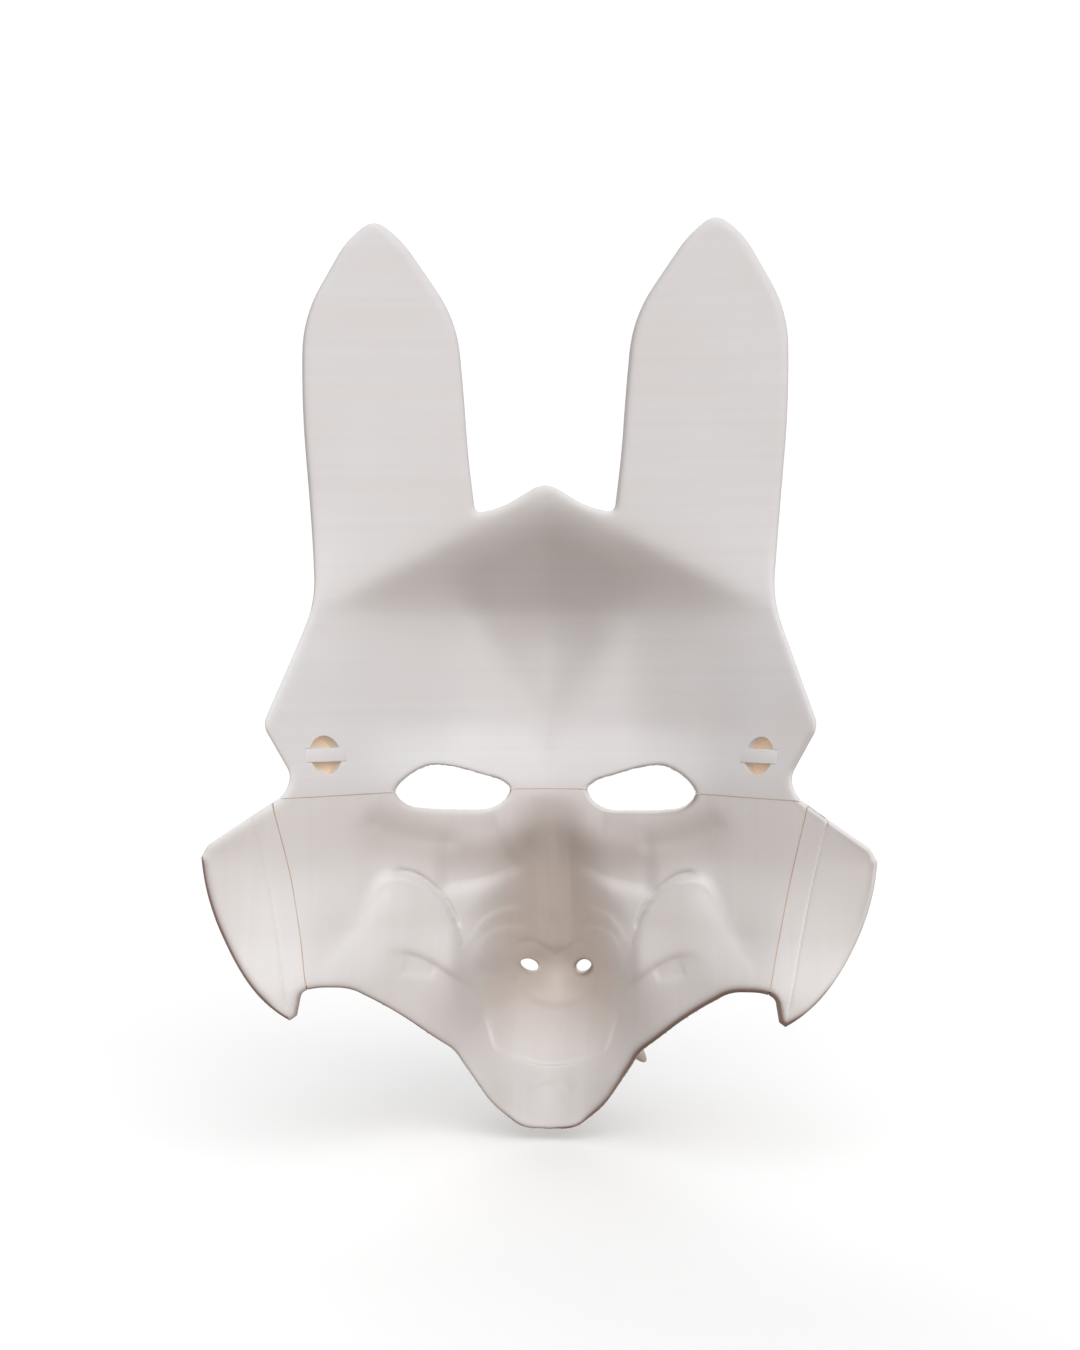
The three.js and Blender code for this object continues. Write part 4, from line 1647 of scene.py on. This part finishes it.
@dataclass(frozen=True)
class FangEnamel:
    """Smoother printed plastic of the fangs, a little darker at the root."""

    name: str = "fang_plastic"
    color: Triple = srgb(232, 226, 219)
    root: Triple = srgb(212, 196, 178)
    roughness: float = 0.45
    streak_scale: float = 900.0
    cloud_scale: float = 120.0
    relief: float = 0.04

    def make(self) -> bpy.types.Material:
        """Builds the material's nodes.

        Returns:
            The finished material.
        """
        material, book = start_material(self.name)
        place = book.node("ShaderNodeTexCoord", output="Object")
        streaks = book.noise(place, self.streak_scale, 3.0)
        clouds = book.noise(place, self.cloud_scale, 2.0)
        rooted = book.mark("root_end")
        colour = book.mix((rooted * 0.7 + clouds * 0.3 - 0.1).held(), self.color, self.root)
        normal = book.node("ShaderNodeBump", {}, Strength=0.4, Distance=self.relief * MM,
                           Height=streaks + clouds)
        shader = book.node(
            "ShaderNodeBsdfPrincipled", {}, Base_Color=colour,
            Roughness=(self.roughness + 0.15 * streaks).held(), Normal=normal,
        )
        book.node("ShaderNodeOutputMaterial", {}, shader)
        return material


# ---------------------------------------------------------------------------------- grown details
def group_with_inputs(name: str, inputs: dict[str, str]) -> NodeBook:
    """Geometry tree with named inputs after its geometry.

    Args:
        name: Name of the tree.
        inputs: Socket type of each further input.

    Returns:
        The tree's book, ready for nodes.
    """
    tree = bpy.data.node_groups.new(name, "GeometryNodeTree")
    tree.interface.new_socket("Geometry", in_out="INPUT", socket_type="NodeSocketGeometry")
    tree.interface.new_socket("Geometry", in_out="OUTPUT", socket_type="NodeSocketGeometry")
    for label, kind in inputs.items():
        tree.interface.new_socket(label, in_out="INPUT", socket_type=kind)
    return NodeBook(tree)


def grow(obj: bpy.types.Object, book: NodeBook, values: dict[str, Any]) -> bpy.types.Object:
    """Runs a geometry tree over an object and keeps the result as its mesh.

    Args:
        obj: Object whose geometry feeds the tree.
        book: The tree.
        values: Value of each named input.

    Returns:
        The grown piece as a new object; the source object is thrown away.
    """
    modifier = obj.modifiers.new("grow", "NODES")
    modifier.node_group = book.tree
    for item in book.tree.interface.items_tree:
        if item.in_out == "INPUT" and item.name in values:
            modifier[item.identifier] = values[item.name]
    graph = bpy.context.evaluated_depsgraph_get()
    mesh = bpy.data.meshes.new_from_object(obj.evaluated_get(graph))
    name = obj.name
    bpy.data.objects.remove(obj)
    mesh.name = name
    return linked(name, mesh)


def path_object(name: str, paths: Sequence[Array]) -> bpy.types.Object:
    """Loose edges along each path, in millimetres.

    Args:
        name: Name of the object.
        paths: Points of each path.

    Returns:
        The new object.
    """
    vertices: list[Array] = []
    edges: list[tuple[int, int]] = []
    for path in paths:
        start = len(vertices)
        vertices.extend(path)
        edges.extend((start + i, start + i + 1) for i in range(len(path) - 1))
    mesh = bpy.data.meshes.new(name)
    mesh.from_pydata((np.array(vertices) * MM).tolist(), edges, [])
    return linked(name, mesh)


@dataclass
class GlueLines:
    """Thin bead of set glue along each seam, seen from the wearer's side."""

    form: FaceForm
    outlines: Outlines
    radius: float = 0.17
    sunk: float = 0.16
    edge_margin: float = 1.2
    eye_seam_reach: float = 81.0
    wing_seam_span: Point = (-1.0, -70.0)

    def paths(self) -> list[Array]:
        """Middle line of each bead.

        Returns:
            Points of each line.
        """
        edge = self.outlines.edge()
        eyes = [self.outlines.eye(side) for side in Side]
        across = np.linspace(-self.eye_seam_reach, self.eye_seam_reach, 320)
        runs = [np.stack([across, np.zeros_like(across)], axis=1)]
        heights = np.linspace(*self.wing_seam_span, 160)
        for side in Side:
            runs.append(np.stack([side.value * self.outlines.seam(heights), heights], axis=1))
        result = []
        for run in runs:
            x, z = run[:, 0], run[:, 1]
            kept = inside(edge, x, z)
            for loop in [edge, *eyes]:
                kept &= away_from(loop, x, z) > self.edge_margin
            for eye in eyes:
                kept &= ~inside(eye, x, z)
            depth = self.form.inner(x, z) + self.sunk * self.form.stretch(x, z)
            places = np.stack([x, depth, z], axis=1)
            ends = np.flatnonzero(np.diff(kept.astype(int)) != 0) + 1
            for stretch in np.split(np.arange(len(x)), ends):
                if kept[stretch[0]] and len(stretch) > 4:
                    result.append(places[stretch])
        return result

    def build(self, glue: bpy.types.Material) -> bpy.types.Object:
        """Sweeps an uneven round section along each seam.

        Args:
            glue: Finish of the beads.

        Returns:
            All beads as one piece.
        """
        book = group_with_inputs("glue_bead", {"Radius": "NodeSocketFloat", "Glue": "NodeSocketMaterial"})
        curve = book.node("GeometryNodeMeshToCurve", {}, book.given("Geometry"))
        lumps = book.node("ShaderNodeTexNoise", {}, Scale=400.0, Detail=1.0, output=0)
        swollen = book.node("GeometryNodeSetCurveRadius", {}, curve, Radius=lumps * 0.5 + 0.75)
        ring = book.node("GeometryNodeCurvePrimitiveCircle", {"mode": "RADIUS"}, Resolution=8,
                         Radius=book.given("Radius"))
        swept = book.node("GeometryNodeCurveToMesh", {}, swollen, ring, Fill_Caps=True)
        book.end_grown(swept, "Glue")
        obj = path_object("glue_lines", self.paths())
        return grow(obj, book, {"Radius": self.radius * MM, "Glue": glue})


@dataclass
class RimNubs:
    """Rough nubs that print supports left along the eye openings and the jaw edge."""

    form: FaceForm
    outlines: Outlines
    size: float = 0.42
    spacing: float = 0.85
    eye_pitch: float = 0.8
    eye_depth: float = 1.5
    jaw_pitch: float = 0.9
    jaw_depth: float = 2.0
    jaw_lift: float = 0.1
    jaw_top: float = -62.0
    jaw_half: float = 60.0
    seed: int = 7

    def paths(self) -> list[Array]:
        """Rim of each eye and the jaw edge, on the wall's rear corner.

        Returns:
            Points of each rim.
        """
        result = []
        for side in Side:
            loop = self.outlines.eye(side)
            closed = refine(np.concatenate([loop, loop[:1]]), self.eye_pitch, closed=False)
            result.append(self.lifted(closed, self.eye_depth))
        edge = self.outlines.edge()
        jaw = edge[(edge[:, 1] < self.jaw_top) & (np.abs(edge[:, 0]) < self.jaw_half)]
        jaw = refine(jaw[np.argsort(jaw[:, 0])], self.jaw_pitch, closed=False)
        result.append(self.lifted(jaw + np.array([0.0, self.jaw_lift]), self.jaw_depth))
        return result

    def lifted(self, path: Array, depth: float) -> Array:
        """Places along a path at one depth inside the wall.

        Args:
            path: Points of the path in x and z.
            depth: Depth below the rear face.

        Returns:
            Places across, forward and up.
        """
        x, z = path[:, 0], path[:, 1]
        return np.stack([x, self.form.inner(x, z) + depth * self.form.stretch(x, z), z], axis=1)

    def build(self, plastic: bpy.types.Material) -> bpy.types.Object:
        """Stands small uneven lumps along each rim.

        Args:
            plastic: Finish of the nubs.

        Returns:
            All nubs as one piece.
        """
        book = group_with_inputs("rim_nubs", {
            "Size": "NodeSocketFloat", "Spacing": "NodeSocketFloat", "Seed": "NodeSocketInt",
            "Plastic": "NodeSocketMaterial",
        })
        curve = book.node("GeometryNodeMeshToCurve", {}, book.given("Geometry"))
        points = book.node("GeometryNodeCurveToPoints", {"mode": "LENGTH"}, curve,
                           Length=book.given("Spacing"))
        lump = book.node("GeometryNodeMeshIcoSphere", {}, Radius=book.given("Size"), Subdivisions=2)
        stretch = book.scatter((0.35, 0.5, 0.3), (1.1, 2.2, 0.95))
        lean = book.scatter((-0.5, -0.5, -0.5), (0.5, 0.5, 0.5))
        placed = book.node("GeometryNodeInstanceOnPoints", {}, points, Instance=lump, Rotation=lean,
                           Scale=stretch)
        book.end_grown(placed, "Plastic")
        obj = path_object("rim_nubs", self.paths())
        return grow(obj, book, {
            "Size": self.size * MM, "Spacing": self.spacing * MM, "Seed": self.seed, "Plastic": plastic,
        })


@dataclass
class PrintSpecks:
    """Tiny blobs that the nozzle left on the wearer's side of the shells."""

    size: float = 0.3
    density: float = 1300.0
    facing: float = 0.45
    seed: int = 11

    def build(self, shell: bpy.types.Object, plastic: bpy.types.Material) -> bpy.types.Object:
        """Scatters specks over the rear of one shell.

        Args:
            shell: The shell that carries the specks.
            plastic: Finish of the specks.

        Returns:
            The specks as one piece.
        """
        book = group_with_inputs("print_specks", {
            "Size": "NodeSocketFloat", "Density": "NodeSocketFloat", "Seed": "NodeSocketInt",
            "Plastic": "NodeSocketMaterial",
        })
        toward = book.dot(book.node("GeometryNodeInputNormal"), (0, -1, 0))
        rear = book.node("FunctionNodeCompare", {"data_type": "FLOAT", "operation": "GREATER_THAN"},
                         toward, self.facing)
        spots = book.node("GeometryNodeDistributePointsOnFaces", {}, book.given("Geometry"), rear,
                          Density=book.given("Density"), Seed=book.given("Seed"))
        lump = book.node("GeometryNodeMeshIcoSphere", {}, Radius=book.given("Size"), Subdivisions=1)
        spread = book.scatter((0.3, 0.2, 0.3), (1.0, 0.7, 1.0))
        placed = book.node("GeometryNodeInstanceOnPoints", {}, spots, Instance=lump, Scale=spread)
        book.end_grown(placed, "Plastic")
        copy = linked(shell.name.replace("_piece", "_specks"), shell.data.copy())
        return grow(copy, book, {
            "Size": self.size * MM, "Density": self.density, "Seed": self.seed, "Plastic": plastic,
        })


@dataclass(frozen=True)
class SetGlue:
    """Cloudy amber glue that has set in the seams."""

    name: str = "set_glue"
    color: Triple = srgb(196, 160, 128)
    cloudy: Triple = srgb(214, 200, 188)
    roughness: float = 0.3
    cloud_scale: float = 90.0
    relief: float = 0.05

    def make(self) -> bpy.types.Material:
        """Builds the material's nodes.

        Returns:
            The finished material.
        """
        material, book = start_material(self.name)
        place = book.node("ShaderNodeTexCoord", output="Object")
        clouds = book.noise(place, self.cloud_scale, 3.0)
        colour = book.mix((clouds * 1.6 - 0.3).held(), self.color, self.cloudy)
        normal = book.node("ShaderNodeBump", {}, Strength=0.3, Distance=self.relief * MM,
                           Height=clouds)
        shader = book.node("ShaderNodeBsdfPrincipled", {}, Base_Color=colour,
                           Roughness=(self.roughness + 0.2 * clouds).held(), Normal=normal)
        book.node("ShaderNodeOutputMaterial", {}, shader)
        return material


# ---------------------------------------------------------------------------------- the mask
@dataclass
class BeastMask:
    """The whole mask, built part by part."""

    form: FaceForm = field(default_factory=FaceForm)
    outlines: Outlines = field(default_factory=Outlines)
    crease: float = 42.0
    ear_start: float = 98.0
    snout_half: float = 60.0

    def build(self) -> None:
        """Builds and dresses every part."""
        def brow_spacing(x: Array, z: Array) -> Array:
            """Wide on the ears, closer on the forehead."""
            return np.where(z > self.ear_start, WIDE, MIDDLE)

        def low_spacing(x: Array, z: Array) -> Array:
            """Close over the snout, wider on the cheeks."""
            return np.where(np.abs(x) < self.snout_half, FINE, MIDDLE)

        brow = BrowShell("brow_shell_piece", self.form, self.outlines, brow_spacing)
        brow_plastic = PrintedPlastic("brow_plastic").make()
        # The lower parts take a stronger painted rim shadow.
        low_plastic = PrintedPlastic(
            "muzzle_plastic", build_axis=(0.05, 1, 0), band_scale=(420, 7, 9), rim_shadow_share=0.95,
            color=srgb(223, 221, 221),
        ).make()
        shells: list[tuple[Shell, bpy.types.Material, str]] = [
            (brow, brow_plastic, "brow_shell"),
            (MuzzleShell("muzzle_shell_piece", self.form, self.outlines, low_spacing),
             low_plastic, "muzzle_shell"),
        ]
        for side in Side:
            wing = CheekWing(f"cheek_wing_{side.word}_piece", self.form, self.outlines, low_spacing,
                             side=side)
            shells.append((wing, low_plastic, f"cheek_wing_{side.word}"))
        specks = PrintSpecks()
        for shell, plastic, node in shells:
            obj = shell.build()
            shell.mark(obj)
            shade(obj, self.crease)
            obj.data.materials.clear()
            obj.data.materials.append(plastic)
            register(obj, Slot.SHELL, node)
            register(specks.build(obj, plastic), Slot.SHELL)
        register(GlueLines(self.form, self.outlines).build(SetGlue().make()), Slot.SHELL)
        register(RimNubs(self.form, self.outlines).build(low_plastic), Slot.SHELL)
        enamel = FangEnamel().make()
        bar_plastic = PrintedPlastic("bar_plastic", build_axis=(1, 0, 0)).make()
        for side in Side:
            bar = StrapBar(brow, side).build()
            bar.data.materials.append(bar_plastic)
            register(bar, Slot.BAR, f"strap_bar_{side.word}")
            fang = Fang(self.form, side).build()
            fang.data.materials.append(enamel)
            register(fang, Slot.FANG, f"fang_{side.word}")


@dataclass
class Studio:
    """Pale floor, soft light and camera."""

    floor_z: float = -0.1205
    floor_half: float = 6000.0
    camera_place: Triple = (0.0385, -0.5441, 0.0388)
    camera_turn: float = 3.87
    lens: float = 48.0
    paper: Triple = (0.93, 0.93, 0.93)
    paper_glow: float = 0.05
    bounce: Triple = (0.36, 0.28, 0.23)
    ambient: float = 0.5
    ambient_lean: float = 0.3
    ambient_from: Triple = (0.2, -0.35, 0.85)
    key_strength: float = 1.6
    key_spread: float = 55.0
    key_from: Triple = (0.22, -0.95, 0.62)
    outside_strength: float = 0.9
    outside_from: Triple = (-0.35, 0.9, 0.5)

    def build(self) -> None:
        """Sets up everything round the mask."""
        self.add_floor()
        self.add_world()
        self.add_sun("key", self.key_strength, self.key_from)
        self.add_sun("outside", self.outside_strength, self.outside_from)
        self.add_camera()

    def add_floor(self) -> None:
        """Adds the floor plane."""
        half, low = self.floor_half, self.floor_z / MM
        corners = np.array([(-half, -half, low), (half, -half, low), (half, half, low), (-half, half, low)])
        floor = mesh_object("floor", corners, [(0, 1, 2, 3)])
        material, book = start_material("floor_paper")
        paper = book.node("ShaderNodeBsdfDiffuse", {}, (*self.paper, 1.0))
        table = book.node("ShaderNodeBsdfDiffuse", {}, (*self.bounce, 1.0))
        seen = book.node("ShaderNodeLightPath", output="Is Camera Ray")
        glow = book.node("ShaderNodeEmission", {}, (1.0, 1.0, 1.0, 1.0), self.paper_glow)
        white = book.node("ShaderNodeAddShader", {}, paper, glow)
        shader = book.node("ShaderNodeMixShader", {}, seen, table, white)
        book.node("ShaderNodeOutputMaterial", {}, shader)
        floor.data.materials.append(material)

    def add_world(self) -> None:
        """Sets a white backdrop and a softer light from all round."""
        world = bpy.data.worlds.new("studio")
        world.use_nodes = True
        bpy.context.scene.world = world
        book = NodeBook(world.node_tree)
        seen = book.node("ShaderNodeLightPath", output="Is Camera Ray")
        way = book.node("ShaderNodeTexCoord", output="Generated")
        lean = book.node("ShaderNodeVectorMath", {"operation": "DOT_PRODUCT"}, way,
                         self.ambient_from, output="Value")
        around = self.ambient + self.ambient_lean * lean
        strength = seen * (1.05 - around) + around
        shader = book.node("ShaderNodeBackground", {}, (1.0, 1.0, 1.0, 1.0), strength)
        book.node("ShaderNodeOutputWorld", {}, shader)

    def add_sun(self, name: str, strength: float, place: Triple) -> None:
        """Adds one broad soft light that comes from a direction.

        Args:
            name: Name of the light.
            strength: Its strength.
            place: Direction that it comes from.
        """
        data = bpy.data.lights.new(name, "SUN")
        data.energy = strength
        data.angle = math.radians(self.key_spread)
        light = linked(name, data)
        light.rotation_euler = Vector(place).to_track_quat("Z", "Y").to_euler()

    def add_camera(self) -> None:
        """Adds the camera, level and turned a little."""
        data = bpy.data.cameras.new("camera")
        data.lens = self.lens
        data.sensor_width = 36.0
        data.clip_start = 0.01
        data.clip_end = 50.0
        camera = linked("camera", data)
        camera.location = self.camera_place
        camera.rotation_euler = (math.pi / 2, 0, math.radians(self.camera_turn))
        bpy.context.scene.camera = camera
        bpy.context.scene.view_settings.view_transform = "Standard"


def main() -> None:
    """Builds the mask and the studio."""
    logging.basicConfig(level=logging.INFO, format="%(message)s")
    Studio().build()
    BeastMask().build()


if __name__ == "__main__":
    main()
